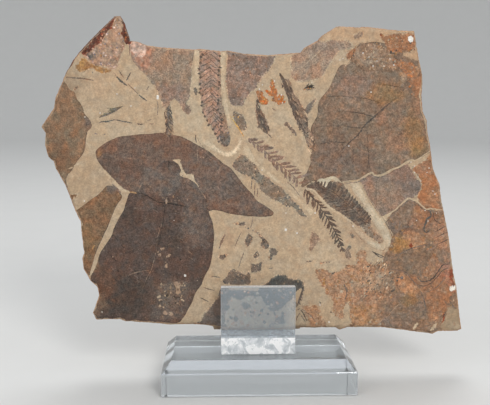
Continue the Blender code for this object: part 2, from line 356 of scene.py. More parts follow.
LUMP_BY_E = (
    (312.5, 99.5), (315.5, 98), (316.2, 100.5), (314, 105), (312.5, 109), (310, 112.5), (307, 114),
    (305.3, 111), (305, 107.5), (308, 103.5),
)
DASH_BY_E = (
    (284, 122.5), (287, 121.3), (289.7, 123.3), (292, 127), (295.2, 130.5), (297.2, 134), (296, 136.2),
    (293.3, 135), (290.3, 131), (287.3, 127.5), (284.3, 125.7),
)
BARK_BY_F = (
    (306, 133), (309.5, 131.5), (312.8, 132.8), (314.4, 137.8), (313.3, 144.4), (311.7, 149.4),
    (308.3, 146.7), (305.6, 141),
)
CRUMBS_BELOW_E = ((298, 122), (306, 122), (309, 132), (304, 136), (299, 130))
BUD_OF_A = (
    (219.5, 139), (220.5, 135), (223.5, 132.5), (228, 132.5), (230.5, 136), (230, 142), (227, 146),
    (224, 146.5), (221, 143),
)
SPECKS_OF_A = ((217, 102), (223, 100), (229, 116), (231, 132), (222, 134), (214, 120))
SMALL_TWIG_BED = (
    (164, 112), (168, 105), (172, 108), (170, 113), (174, 119), (172, 123), (174, 133), (170, 136),
    (164, 136), (165.5, 128), (165, 120), (166, 114),
)
SPRIG_BY_D = ((301, 89.5), (306, 87), (310, 84), (314, 81), (312, 86), (313, 88), (308, 91))
DARK_BLOTCH = (
    (233, 111), (238, 111.5), (242, 114), (246, 120), (247, 127), (245, 131), (241, 130.5),
    (237.5, 126), (234, 120.5),
)
LEFT_STUB = (
    (69, 197), (71, 194.5), (77, 193), (79.5, 192.5), (80, 194), (78, 196), (75, 198), (71, 200.5),
)
FACET_FACE = (
    (114.3, 10), (121, 12), (125, 23.5), (123, 31.5), (124.6, 41), (125, 47), (122.7, 53), (120, 59),
    (118, 64), (116.5, 68), (112, 70), (106, 67), (100, 66), (94, 65.5), (88, 60), (84.5, 54.5),
    (90, 48.5), (96, 42.5), (104, 34), (110, 25), (113, 18.5),
)
LEFT_RIND = (
    (116, 11), (111.4, 17), (105, 25), (98, 31.5), (88, 43), (81, 51.8), (84.5, 56), (89, 53),
    (95, 47.5), (101, 43), (105, 36), (112, 27), (115, 19),
)
RIGHT_RIND = (
    (122, 17), (129, 27), (132, 38), (131.5, 43.5), (126.5, 45), (124.3, 41), (121.6, 33), (122, 25),
)
RIM_LINE_LEFT = ((111.6, 19.0), (105, 25.6), (98, 32), (88, 43.2), (81, 51.5), (75, 59))
OCHRE_LEFT = (
    (83, 56), (88, 60), (94, 65), (97, 68), (91, 69), (87, 71), (82, 73), (77, 71), (75, 66),
    (79, 61),
)
OCHRE_RIGHT = ((94, 66), (101, 66.5), (108, 68), (112, 70), (109, 73), (102, 74), (96, 71.5))
STEEL_SPOT = ((86, 54), (89, 51.5), (93, 53), (94, 58), (91.5, 60), (88, 58))
PALE_RIB_OF_B = ((258, 85), (263, 77), (269, 70), (273, 62))
TOP_RIGHT_PATCH = (
    (380, 34), (386, 35), (395, 33), (410, 32), (417, 35), (418, 43), (415, 50), (405, 52), (400, 54),
    (392, 54), (386, 50), (383, 44),
)
TAN_WEDGE = ((402, 53), (410, 51.5), (418, 50), (422, 60), (416, 61), (408, 59))
RUST_BAND = (
    (390, 55), (397, 59), (408, 60), (416, 63), (424, 72), (426, 82), (424, 92), (418, 98), (412, 101),
    (410, 92), (408, 84), (405, 74), (397, 66), (391, 61),
)
TAN_PATCH_F = ((399, 72), (403, 70), (407, 74), (408, 80), (404, 84), (400, 80))
SPARKLE_PATCH = (
    (352, 50), (358, 44), (368, 42), (378, 42), (388, 50), (396, 57), (400, 66), (392, 72), (380, 71),
    (370, 70), (358, 66), (352, 60),
)
ORANGE_SPOT_F = ((345, 58), (347, 52), (352, 48), (357, 49), (356, 54), (351, 60), (347, 61))
GREY_SPOTS = (
    ((352, 36), (357, 33), (362, 34), (361, 38), (356, 40)),
    ((358, 32), (363, 31), (364, 35), (360, 36)),
)
DARK_PATCH_F = (
    (371, 120), (377, 116), (381, 112), (386, 112), (388, 120), (386, 123), (383, 126), (379, 125),
    (375, 122),
)
RIGHT_BEVEL = (
    (420, 88), (419, 100), (420, 108), (422, 114), (424, 120), (425, 127), (426, 133), (427, 140),
    (429, 146), (430, 152), (440, 152), (436, 130), (430, 110), (428, 88),
)
LEDGE_LINE_1 = (
    (341, 182.5), (348, 181), (358, 180), (364, 176.5), (369, 173.5), (372, 172.5), (374, 175),
    (378, 175.5), (384, 174), (389, 171), (393, 169), (399, 167), (403, 164.5), (408, 161), (412, 160),
    (415, 160.5), (420, 158), (424, 155), (428, 152.5), (431, 150.5),
)
LEDGE_LINE_2 = (
    (380, 219), (385, 216), (390, 213), (395, 210), (400, 205.5), (405, 201), (409, 198), (413, 200),
    (417, 201), (420, 204), (423, 206.5), (426, 209), (432, 208.5), (438, 209.5), (446, 210.3),
)
LEDGE_2_WEDGE = ((381, 218), (388, 214), (392, 212.5), (389, 217), (386, 221), (384, 225))
TRIANGLE_BIT = (
    (311.6, 230.5), (315.5, 232.3), (319, 237.3), (321.2, 239.4), (316.5, 245.5), (312, 252),
    (308.6, 250), (309, 241),
)
WEDGE_BY_PLATE = (
    (220.5, 285), (219, 293), (216, 298), (212, 303), (207, 309), (202, 315), (200, 320), (192, 325),
    (205, 331), (224, 331), (226, 320), (225, 300), (224, 288),
)
DARK_BEHIND_PLATE = (
    (262, 285), (269, 280), (276, 274.5), (281, 274), (286, 275), (293, 279), (297, 278), (302, 280),
    (305, 283), (303, 288), (297, 291), (295, 294), (288, 300), (282, 306), (276, 311), (270, 311),
    (266, 306), (262, 300), (258, 292), (258, 286),
)
BITS_BEHIND_PLATE = (
    ((221, 288), (236, 288), (250, 289), (262, 291), (258, 297), (248, 296), (240, 301), (232, 298),
     (226, 303), (221, 300)),
    ((262, 287), (296, 287), (295, 297), (287, 303), (279, 310), (270, 308), (264, 300)),
    ((223, 303), (229, 303), (230, 309), (224, 311)),
    ((240, 303), (248, 301), (252, 306), (246, 310)),
    ((266, 326), (274, 319), (284, 311), (296, 303), (297, 306), (286, 315), (277, 323), (270, 327)),
    ((275, 317), (284, 316), (286, 322), (277, 324)),
    ((232, 316), (238, 315), (240, 320), (234, 322)),
)
MIDDLE_BITS = (
    ((231, 223.5), (237, 222), (242, 221.5), (246, 222), (246, 226), (249, 229), (239, 225)),
    ((218, 257), (220, 254.5), (225, 253.5), (229, 254), (226, 257), (224, 260), (220, 259.5)),
    ((248, 232), (251, 233), (253, 237), (252, 242), (250, 246), (247, 247.5), (244.5, 244), (244, 239)),
    ((252, 229.5), (256, 231), (260, 233), (265, 238), (268, 242), (265, 243), (260, 237), (255, 233)),
    ((259, 243), (262, 240), (266, 240), (269, 243), (270, 246), (268, 250), (263, 249), (260, 246)),
    ((269, 248), (277, 248), (277, 254), (273, 258), (270, 262), (269, 256)),
    ((253, 256), (255, 252), (258, 251), (260, 254), (258, 258), (254, 260)),
    ((250, 262), (255, 264), (265, 260), (262, 264), (261, 272), (257, 273), (251, 273)),
    ((222, 281), (226, 276), (230, 269.5), (233, 268.5), (240, 271), (245, 274), (249, 269),
     (251, 277), (251, 284.5), (238, 286), (226, 284.5)),
    ((221, 287), (228, 288), (232, 292), (231, 299), (224, 300), (221, 296)),
    ((222, 303), (228, 303), (230, 307), (225, 310), (222, 308)),
    ((306, 262), (310, 260), (314, 258.5), (315, 260), (311, 262)),
    ((318, 263.5), (322, 262), (327, 261.5), (331, 260.5), (330, 262.5), (322, 264)),
)
PALE_BITS = (
    ((193.3, 89), (195.5, 87), (197.6, 89.5), (198, 92.5), (196, 95.6), (193.4, 94)),
    ((349.5, 232.5), (352, 231.5), (354.5, 235), (355, 238.5), (352.5, 238.5), (350, 236)),
    ((349, 244), (351.7, 246), (350.5, 251), (352.3, 257), (349, 260), (345, 257), (344.5, 250.5)),
)
CHIPS_IN_BROAD_LEAF = (
    ((160, 248), (165, 247), (164.5, 250), (161, 250.5)), ((158.5, 251), (161, 257), (157, 254)),
    ((165.5, 257), (168, 254.5), (171.5, 254), (167, 258)),
    ((165, 262), (168, 262.5), (168, 269), (165.5, 268)),
    ((173, 282), (180, 282), (181, 285), (180, 289), (181, 292), (179, 295), (176, 294), (176, 288),
     (174, 285)),
    ((162, 311), (168, 311.5), (167, 315), (163, 314)),
    ((169, 311), (173, 312), (172.5, 316), (169, 315)),
    ((162, 316), (164, 316), (164, 319), (162.3, 319)),
)
ORANGE_STARS = (
    ((272, 79), (274, 81), (275, 86), (277, 90), (277.5, 94), (274, 96), (271, 90), (270, 84)),
    ((265, 89), (270, 91), (276, 91), (277, 96), (280, 94), (284, 95), (284, 100), (285, 103),
     (281, 104), (278, 106), (276, 103), (271, 101), (273, 97), (268, 96), (266, 93)),
    ((256, 91), (262, 91), (265, 97), (269, 101), (266, 104), (261, 104), (258, 98)),
)
LOWER_STAINS = (
    ((302, 305), (312, 306), (318, 305), (321, 315), (327, 325), (326, 332), (315, 332), (307, 320),
     (303, 312)),
    ((315, 270), (326, 269), (334, 272), (340, 270), (347, 265), (354, 263), (357, 252), (361, 248),
     (366, 251), (368, 262), (376, 264), (384, 259), (390, 266), (388, 276), (376, 288), (364, 298),
     (352, 300), (344, 308), (345, 318), (338, 319), (332, 312), (333, 302), (325, 292), (320, 283)),
    ((352, 296), (366, 297), (378, 295), (388, 296), (386, 308), (380, 322), (366, 328), (352, 324),
     (349, 310)),
)
PURPLE_BROWN = ((347, 281), (351, 284), (352, 296), (350, 300), (343, 293), (346, 288))
SWIRL = (
    (432, 254), (436, 254), (439, 259), (437, 266), (434, 273), (430, 278), (425, 280.5), (421.5, 279),
    (421.5, 274), (425, 268), (429, 261),
)
PINK_GROUND = (
    (436, 284), (446, 281), (452, 292), (449, 304), (445, 314), (438, 322), (430, 322), (425, 310),
    (424, 298), (428, 290),
)
ORANGE_GROUND = (
    (399, 274), (404, 272), (408, 278), (414, 283), (420, 288), (421, 294), (414, 298), (404, 295),
    (398, 288), (397, 280),
)
PURPLE_GROUND = (
    (391, 212), (400, 205), (408, 200.5), (415, 202), (414, 212), (408, 222), (402, 231), (392, 230),
    (388, 224),
)
RED_RUST_GROUND = ((413, 204), (424, 208), (428, 214), (424, 224), (414, 228), (408, 225), (411, 214))
PINK_EDGE_GROUND = (
    (437, 226), (446, 222), (452, 236), (455, 256), (448, 262), (441, 258), (438, 250), (434, 240),
)
UPPER_BROWN_GROUND = (
    (393, 212), (407, 203), (420, 208), (436, 212), (438, 224), (426, 232), (410, 232), (396, 236),
    (390, 226),
)
EDGE_RED_GROUND = ((440, 264), (452, 262), (458, 276), (458, 292), (448, 296), (438, 284), (436, 272))
RED_EDGE = ((448, 270), (453, 268), (460, 276), (460, 287), (452, 286), (449, 280))
CHIP_EDGE = ((449, 287), (456, 285), (462, 286), (456, 290), (452, 291.5), (450, 291))
OCHRE_GROUND = (
    (394, 238), (400, 236), (406, 240), (409, 247), (406, 253), (399, 257), (394, 254), (392, 246),
)
GOLD_GROUND = (
    (404, 230), (416, 230), (424, 236), (428, 243), (420, 249), (410, 251), (404, 244), (400, 236),
)
DARK_GROUND = ((387, 222), (393, 223), (398, 226), (396, 230), (390, 230), (388, 227))
BROWN_GROUND = (
    (385, 256), (397, 258), (408, 252), (420, 248), (430, 242), (436, 246), (434, 254), (427, 262),
    (421, 270), (419, 278), (408, 276), (402, 268), (393, 264), (386, 262),
)
LOW_BROWN_GROUND = (
    (382, 300), (392, 295), (405, 293), (418, 296), (427, 303), (426, 314), (420, 324), (408, 331),
    (392, 331), (382, 327), (378, 314),
)

# Lines: (places, width in cells, colour). First the stems and scratches on bare stone, then the lines
# on the iron-stained ground, the tracks' crests with some painted highlight and shade, the leaves' veins,
# and the painted shadows beside ledges and tracks.
STONE_LINES = (
    (((65.4, 77.1), (73, 77.7), (82.5, 78.5), (93.8, 80.4)), 1.3, NEEDLE_BROWN),
    (((92, 71), (93, 74)), 0.8, INK_SOFT),
    (((113.3, 72.1), (116.7, 76.7)), 0.9, NEEDLE_LIGHT),
    (((116.5, 76.5), (121.5, 81.5), (127.5, 86)), 1.8, SLATE),
    (((118.3, 69.2), (121, 74), (124.2, 78.3)), 1.0, NEEDLE_BROWN),
    (((127.5, 83.3), (133, 89), (138.3, 94.2)), 0.8, NEEDLE_BROWN),
    (((138.3, 94.2), (142.5, 98), (147.1, 100.8)), 1.3, SLATE),
    (((130.8, 72.1), (128.5, 76.5), (125.8, 81)), 1.4, SLATE),
    (((74, 90.5), (76, 87.5), (79, 86.5)), 2.0, NEEDLE_LIGHT),
    (((99.2, 122.9), (101.7, 121.7), (108.3, 121.3), (115, 119.6)), 1.2, SLATE),
    (((115, 119.6), (120, 120.8), (127.5, 122.1), (132.9, 123.3)), 1.1, SLATE),
    (((136.3, 123.8), (143.3, 124.2)), 1.2, INK),
    (((148.3, 123.8), (155, 123.8)), 0.8, INK_SOFT),
    (((146.7, 120.8), (151.7, 119.6)), 0.7, INK_SOFT),
    (((94, 133), (98, 134.5)), 1.4, SLATE_SOFT),
    (((103, 134.5), (106, 134)), 0.9, INK_SOFT),
    (((146, 91), (149, 86)), 0.9, INK_SOFT),
    (((157, 101), (158, 108), (157, 116)), 0.8, INK_SOFT),
    (((196, 134), (195.6, 139), (196.5, 143)), 0.9, INK),
    (((129.3, 41), (129.6, 49), (129.2, 56)), 0.8, INK_SOFT),
    (((230, 116), (235, 123), (240, 130.5), (244, 137)), 1.1, GOLD),
    (((281, 83), (282.5, 86), (282, 89)), 1.2, INK),
    (((272, 108), (276, 111)), 1.2, INK_SOFT),
    (((253, 217), (252, 223), (250.5, 228)), 0.8, INK_SOFT),
    (((242, 231), (238, 239), (234, 249)), 0.7, INK_SOFT),
    (((244, 252), (241, 260), (238.5, 268)), 0.8, INK_SOFT),
    (((225.5, 234), (222, 241), (219, 249)), 1.8, INK_SOFT),
    (((210.5, 276), (220.5, 277.5)), 0.9, INK),
    (((203.5, 287), (208, 289), (214.5, 290.5)), 0.9, INK),
    (((200, 297.5), (204, 299.5), (209, 302)), 0.9, INK),
    (((254, 279), (257, 279.2)), 1.0, INK_SOFT),
    (((269, 269), (274, 267.5)), 0.9, INK_SOFT),
    (((300, 313), (297, 317), (296, 322)), 1.0, INK_SOFT),
    (((300, 309), (303.5, 314), (307, 321)), 1.0, INK),
    (((300, 314), (303, 318), (306, 323)), 0.9, INK_SOFT),
    (((296, 311), (300, 308)), 0.9, INK_SOFT),
    (((302, 309), (312, 317), (316, 323)), 0.8, INK_SOFT),
    (((252, 180), (251, 190)), 0.8, INK_SOFT),
    (((255, 182), (254.5, 196)), 1.0, INK_SOFT),
    (((258, 187), (257, 198)), 0.9, INK_SOFT),
    (((319, 301), (321, 304)), 1.4, INK),
    (((331, 275), (335, 272)), 1.3, INK_SOFT),
    (((344, 284), (347, 292), (345, 300)), 1.6, INK_SOFT),
    (((373, 252), (378, 256), (383, 258)), 1.0, INK),
    (((286, 181), (292, 186), (300, 196)), 0.9, INK_SOFT),
)
GROUND_LINES = (
    (((430, 211), (431, 216), (427, 219), (425.5, 224), (424, 229), (425.5, 232), (428, 232),
      (429.5, 229)), 1.5, SLATE),
    (((433, 212), (435, 220), (441, 224)), 0.9, PLUM_BROWN),
    (((449, 264), (443, 265), (439, 270), (434, 277), (428, 281), (421, 281), (417, 277)), 1.3, INK),
    (((449, 268), (443, 270), (438, 276), (431, 283), (424, 286), (418, 285)), 0.8, PLUM_BROWN),
    (((446, 276), (440, 284), (432, 290), (424, 292)), 0.8, INK_SOFT),
    (((421, 264), (420, 272), (421, 278)), 0.7, INK_SOFT),
    (((443, 313), (444, 318), (442, 323)), 1.2, RUST_RED),
    (((409, 245), (413, 246)), 3.0, RUST_RED),
    (((435, 232), (448, 225)), 0.8, PLUM_BROWN),
    (((435, 238), (449, 231)), 0.8, PLUM_BROWN),
    (((436, 245), (451, 238)), 0.8, PLUM_BROWN),
    (((438, 243), (433, 248), (426, 251)), 1.0, FILM_MAUVE),
    (((390, 258), (400, 254), (410, 249), (420, 246), (430, 243)), 0.8, FILM_GREY),
    (((390, 269), (405, 272), (412, 280), (420, 288)), 0.9, FILM_GREY),
    (((396, 214), (400, 222), (398, 231)), 1.0, INK_SOFT),
    (((400, 226), (408, 227), (414, 225)), 0.9, INK_SOFT),
    (((420, 290), (424, 300), (426, 312)), 0.9, FILM_GREY),
    (((400, 303), (394, 309), (386, 318)), 0.7, STAIN_TAN),
    (((385, 318), (389, 322), (392, 328)), 1.0, INK_SOFT),
    (((385, 316), (380, 322), (374, 327)), 0.9, STAIN_TAN),
    (((371, 251), (380, 255), (386, 258)), 0.9, INK),
    (((391, 292), (395, 289)), 1.8, SLATE),
    (((401, 276), (403, 280)), 2.2, SLATE_SOFT),
    (((449, 300), (453, 306)), 0.9, INK_SOFT), (((452, 305), (456, 309)), 0.9, INK_SOFT),
    (((446, 312), (442, 318)), 0.9, INK), (((420, 329), (430, 325), (437, 319)), 0.9, INK_SOFT),
)
CREAM_LINES = (
    (((104, 170), (112, 180), (118, 186), (123, 190), (129, 192)), 2.6, CREAM),
    (((68, 169), (73, 167)), 1.5, CREAM_BRIGHT),
    (((74, 166), (80, 163), (84, 161)), 1.5, CREAM_BRIGHT),
    (((70, 173), (76, 171)), 1.3, CREAM),
    (((130, 192), (137, 193.2)), 1.3, OCHRE),
    (((124, 321.5), (150, 323), (175, 325), (205, 325.4), (220, 327)), 2.2, CREAM),
    (((413, 330), (416, 325), (418, 323)), 2.0, CREAM),
    (((430, 331), (434, 327), (437, 323)), 2.2, CREAM),
    (((350, 51), (340, 58), (334, 65)), 1.5, CREAM_DULL),
    # Along track H: painted highlight and painted shade on its grooves.
    (((356, 186), (365, 200), (374, 214), (382, 226), (387, 238)), 0.6, CREAM_BRIGHT),
    (((361, 186), (369, 198), (378, 211), (386, 224), (390, 237)), 0.4, CREAM_DULL),
    (((352, 226), (360, 235), (370, 243), (379, 248)), 0.6, CREAM_BRIGHT),
    (((306, 188.5), (314, 190.5), (319, 197), (328, 206), (338, 213), (350, 221), (360, 230)), 1.8,
     CREAM),
)
FILM_LINES = (
    # left-edge and strip leaves
    (((91.5, 251), (93.5, 247), (95, 244)), 0.9, OCHRE),
    (((112, 184), (116, 188), (121, 193)), 1.6, FILM_MAUVE),
    # lance leaf
    (((100, 155), (104, 156.8), (108, 157.5)), 0.7, LEAF_TAN),
    (((113.5, 157), (118, 159), (124, 160), (132, 163)), 0.7, LEAF_TAN),
    (((143, 149), (146, 154)), 0.6, LEAF_TAN),
    (((140, 152), (143, 158)), 0.6, LEAF_TAN),
    (((118, 163), (117, 168)), 0.6, LEAF_TAN),
    (((240, 204), (236, 210)), 0.7, LEAF_TAN),
    (((226, 202), (230, 205)), 0.6, LEAF_TAN),
    (((188, 143), (186, 151)), 0.9, FILM_DARK),
    (((100, 153), (110, 156), (124, 157.5), (140, 160)), 0.6, LEAF_TAN),
    (((104, 152), (106, 147), (110, 143)), 0.7, CRACK),
    (((170, 139), (170, 147), (168, 156)), 1.0, FILM_DARK),
    (((200, 150), (215, 162), (232, 178), (248, 196)), 0.7, FILM_DARK),
    (((206, 160), (214, 172), (220, 186)), 0.6, FILM_MAUVE),
    (((222, 172), (226, 184), (228, 196)), 0.6, FILM_MAUVE),
    # broad leaf: boundary against the lance leaf, midrib, side veins, bottom light line
    (((153, 169.6), (149, 174), (145, 179), (141, 185), (138.3, 191)), 1.0, LEAF_TAN),
    (((135, 191.8), (146.4, 195.2), (152, 199), (157.7, 202), (166.8, 203.2), (177, 205),
      (187.3, 206.6), (198, 208), (206.6, 208.9), (212, 211)), 1.1, CRACK),
    (((196, 184), (200, 190), (204, 196), (206, 199)), 1.0, LEAF_TAN),
    (((169, 160), (168.5, 173), (167.4, 187), (166.6, 197)), 1.4, CRACK),
    (((166.6, 197), (166.2, 204)), 1.6, LEAF_TAN),
    (((165.5, 204), (164.2, 213), (163, 222), (161, 233), (158, 244), (155.5, 254), (152, 265),
      (147.5, 278), (142.5, 292)), 1.1, CRACK),
    (((162.4, 222), (159, 232), (157, 240), (156.5, 250), (155, 256), (153, 264), (151, 270),
      (146, 280), (143, 288), (141, 296)), 0.6, LEAF_TAN),
    (((166, 203), (155, 207), (146, 213), (137, 222)), 0.8, FILM_DARK),
    (((160, 232), (172, 238), (186, 246), (198, 256)), 0.7, FILM_DARK),
    (((157, 244), (143, 247), (128, 253), (114, 262)), 0.7, FILM_DARK),
    (((152, 266), (166, 272), (182, 282)), 0.7, FILM_DARK),
    (((150, 270), (138, 272), (122, 278)), 0.8, LEAF_TAN),
    (((143, 286), (132, 288), (120, 291)), 0.7, LEAF_TAN),
    (((170, 214), (186, 221), (203, 232)), 0.6, FILM_DARK),
    # upper-mid leaf
    (((173.2, 44), (173.3, 60), (173.0, 74), (173.2, 90)), 0.9, FILM_GREY),
    (((173, 62), (165, 55)), 0.6, FILM_MAUVE),
    (((173, 72), (163, 66)), 0.6, FILM_MAUVE),
    (((174, 60), (182, 54)), 0.6, FILM_MAUVE),
    # leaf D scratch
    (((292, 77), (301, 68.5), (309, 61), (318, 53), (327, 45)), 0.6, CREAM_BRIGHT),
    (((197, 146), (197.5, 156), (197, 168)), 0.5, LEAF_TAN),
    # leaf F: midrib and veins
    (((405, 88), (398, 97), (391, 102), (385, 107), (380, 112), (375, 116), (371, 120), (367, 123),
      (362, 129), (357, 136), (352, 140), (348, 144), (344, 148), (340, 152)), 1.5, INK),
    (((341, 78), (355, 79), (365, 80), (375, 82.5), (385, 84.5), (404, 88)), 1.2, NEEDLE_DARK),
    (((326, 97), (338, 96), (352, 97), (366, 98.5), (385, 104.5)), 1.1, NEEDLE_DARK),
    (((322, 113), (340, 111), (352, 112), (364, 114), (374, 117)), 1.1, NEEDLE_DARK),
    (((315, 127.7), (326, 126), (340, 125), (350, 127), (362, 128)), 1.1, NEEDLE_DARK),
    (((317, 144.3), (331, 142), (349.4, 143)), 1.1, NEEDLE_DARK),
    (((367, 130), (368, 145), (368.5, 158), (370, 170)), 0.9, NEEDLE_DARK),
    (((353, 143), (353, 165)), 0.9, NEEDLE_DARK),
    (((344, 148), (340, 160), (336, 168)), 0.8, INK_SOFT),
    (((354, 146), (362, 152), (368, 156)), 0.8, INK_SOFT),
    (((372, 101), (380, 96), (388, 92)), 0.7, INK_SOFT),
    (((399, 130), (399.5, 160)), 0.6, FILM_MAUVE),
    (((385, 124), (396, 131), (410, 136)), 0.6, FILM_MAUVE),
    (((391, 104), (398, 112), (408, 118)), 0.6, FILM_MAUVE),
    # leaf G
    (((377, 180), (376, 194), (377, 208)), 1.1, INK),
    (((376, 185), (388, 190), (400, 196)), 0.6, FILM_MAUVE),
    (((376, 196), (386, 186), (396, 178)), 0.6, FILM_MAUVE),
)
SHADOW_LINES = (
    # painted shadows: the dark foot of each ledge, then painted shade along the undercuts beside tracks,
    # with one painted highlight
    (((343, 184.3), (350, 183), (358, 182), (365, 178.5), (371, 174.8), (377, 177.3), (385, 175.8),
      (394, 171), (402, 167), (411, 162)), 0.9, INK_SOFT),
    (((384, 224.5), (389, 219), (396, 212), (404, 204.5), (409, 200.3), (416, 203), (423, 208.8),
      (432, 210.7), (446, 212.3)), 0.9, INK_SOFT),
    (((197, 137), (200, 143), (204, 148), (209, 153)), 0.6, NEEDLE_LIGHT),
    (((306.8, 147.5), (309, 150.5), (311.6, 154)), 0.6, CREAM_BRIGHT),
    (((377, 209.5), (385, 221.5), (391, 233.5), (392, 242), (388, 249)), 0.5, INK_SOFT),
    (((354, 190), (361, 201), (371, 216), (378, 227)), 0.35, NEEDLE_LIGHT),
    (((354, 231), (362, 240), (372, 248)), 0.4, NEEDLE_LIGHT),
)

DOTS = (
    (216, 247), (234, 228), (247, 250), (278, 246), (283, 248), (290, 250), (322, 257.5), (331.5, 312),
    (297.5, 220.5), (330, 312), (278, 136), (291, 136), (98, 107), (88, 99), (107, 128), (171, 131),
    (143, 104), (288, 236), (318, 236),
)
# Glints: white chips on shiny grains, whose white is partly a painted highlight where the grains catch
# light.
GLINTS = (
    (259.5, 89), (262.5, 85), (274.5, 81), (281.5, 95), (282.5, 102.5), (279, 99), (340, 60),
    (343, 58.5), (411, 162), (414.5, 166), (414.5, 172.5), (418, 177), (421, 181), (429, 168),
    (427, 172.5), (433, 191), (435, 194), (416.5, 220.5), (436.5, 213), (428, 221), (425, 210.5),
    (285, 229.5), (297, 233), (286, 213), (315, 213), (353, 226), (174, 220.5), (185, 275.5),
    (84.5, 201), (85, 117), (131, 106), (135, 88), (157.5, 96), (157.5, 98.5), (211, 66), (117, 94),
    (100, 113), (349, 146), (371, 92), (262, 170), (102, 312), (320, 305), (329, 322), (377, 61),
    (369, 57), (384, 66), (390, 59), (363, 53), (373, 66), (394, 65),
)
# Larger chips of the same kind: shiny grains, painted white partly as their highlight.
BRIGHT_CHIPS = (
    ((408, 37), (411, 35.5), (413.5, 38), (413, 41.5), (410.5, 42.5), (408, 40.5)),
    ((156.7, 95), (159, 96), (158.5, 99.5), (156.5, 99)),
    ((285, 228.2), (287, 229), (286.6, 231), (284.6, 230.8)),
    ((184, 274.4), (186.2, 274.7), (186.1, 276.8), (184.1, 276.6)),
)

# Shoots: an axis, the needles' spacing along it, and for each side the needles' direction (degrees
# below the line to the right) and length (cells) at the start, middle and end of the axis.
Side = namedtuple("Side", "turns lengths")
Shoot = namedtuple("Shoot", "axis spacing left right width body edge edge_width stem dark_tips")
EDGE_PROFILE = (0.5, 1.0, 1.1, 0.9)
SHOOTS = (
    Shoot(((210.5, 46), (210.5, 80), (212, 100), (215, 115), (220, 128), (225, 140)), 4.7,
          Side((146, 144, 126), (14, 14, 8)), Side((37, 39, 58), (14, 13.5, 7)), 3.0,
          FROND_PINK, NEEDLE_SOFT, 0.75, 0.8, 1.0),
    Shoot(((169, 106), (168, 120), (167.5, 136)), 4.4,
          Side((126, 118, 108), (6, 7, 5)), Side((52, 56, 64), (9, 10, 6)), 1.2,
          NEEDLE_SOFT, SLATE_SOFT, 0.3, 0.9, 0.0),
    Shoot(((123, 106), (117, 109.5), (110, 113.5), (101, 116.5)), 3.0,
          Side((168, 176, 178), (13, 10, 4)), Side((148, 156, 166), (11, 10, 5)), 0.95,
          OLIVE_GREY, SLATE_SOFT, 0.35, 0.7, 0.0),
    Shoot(((257.3, 99), (258, 108), (260, 116), (263, 124), (266, 131)), 3.6,
          Side((100, 98, 92), (4, 7, 4)), Side((50, 58, 66), (4, 8, 6)), 1.6,
          NEEDLE_SOFT, NEEDLE_DARK, 0.4, 0.9, 0.0),
    Shoot(((280, 73), (283, 80), (287, 92), (292, 106), (297, 118), (301, 128)), 2.4,
          Side((88, 90, 92), (4, 6, 6)), Side((54, 52, 50), (7, 14, 12)), 1.1,
          NEEDLE_SOFT, SLATE, 0.0, 0.8, 0.0),
    Shoot(((249, 138), (256, 143.5), (263, 149), (274, 160), (284, 168), (295, 177), (300.5, 185.5)),
          5.4, Side((72, 82, 94), (7, 10, 10)), Side((-4, -8, -8), (8, 15, 14)), 1.9,
          FILM_MAUVE, NEEDLE_BROWN, 0.55, 0.8, 0.0),
    Shoot(((305, 189), (311, 196), (317, 202), (323, 209)), 3.8,
          Side((96, 98, 104), (11, 12, 11)), Side((30, 20, 12), (5, 6, 7)), 1.5,
          NEEDLE_BROWN, NEEDLE_DARK, 0.6, 1.0, 0.0),
    Shoot(((321, 209), (328, 219), (333, 228), (338, 238), (343, 252)), 3.3,
          Side((104, 116, 122), (11, 9, 4)), Side((10, 22, 34), (11, 9, 4)), 1.3,
          NEEDLE_SOFT, NEEDLE_DARK, 0.3, 0.9, 0.0),
    Shoot(((314, 185), (328, 189), (338, 196), (348, 205), (358, 214), (369, 224)), 3.0,
          Side((168, 178, 172), (8, 18, 12)), Side((-76, -62, -48), (5, 14, 7)), 1.6,
          NEEDLE_SOFT, NEEDLE_DARK, 0.4, 0.9, 0.0),
    Shoot(((298, 302), (301, 294), (303.5, 286)), 3.2,
          Side((98, 96, 94), (5, 5, 3)), Side((60, 62, 66), (5, 5, 3)), 1.1,
          SLATE_SOFT, INK, 0.5, 0.8, 0.0),
)
# Twigs seen end on or crushed: (bed, colour, direction of its needles in degrees, count).
CRUSHED_TWIGS = (
    (TWIG_E, NEEDLE_GREY, 58, 14), (TWIG_C, NEEDLE_BROWN, 62, 6), (SPRIG_BY_D, TWIG_TAN, -30, 7),
    (SMALL_TWIG_BED, TWIG_TAN, 80, 4), (FROND_H_BED, NEEDLE_GREY, 35, 24),
)

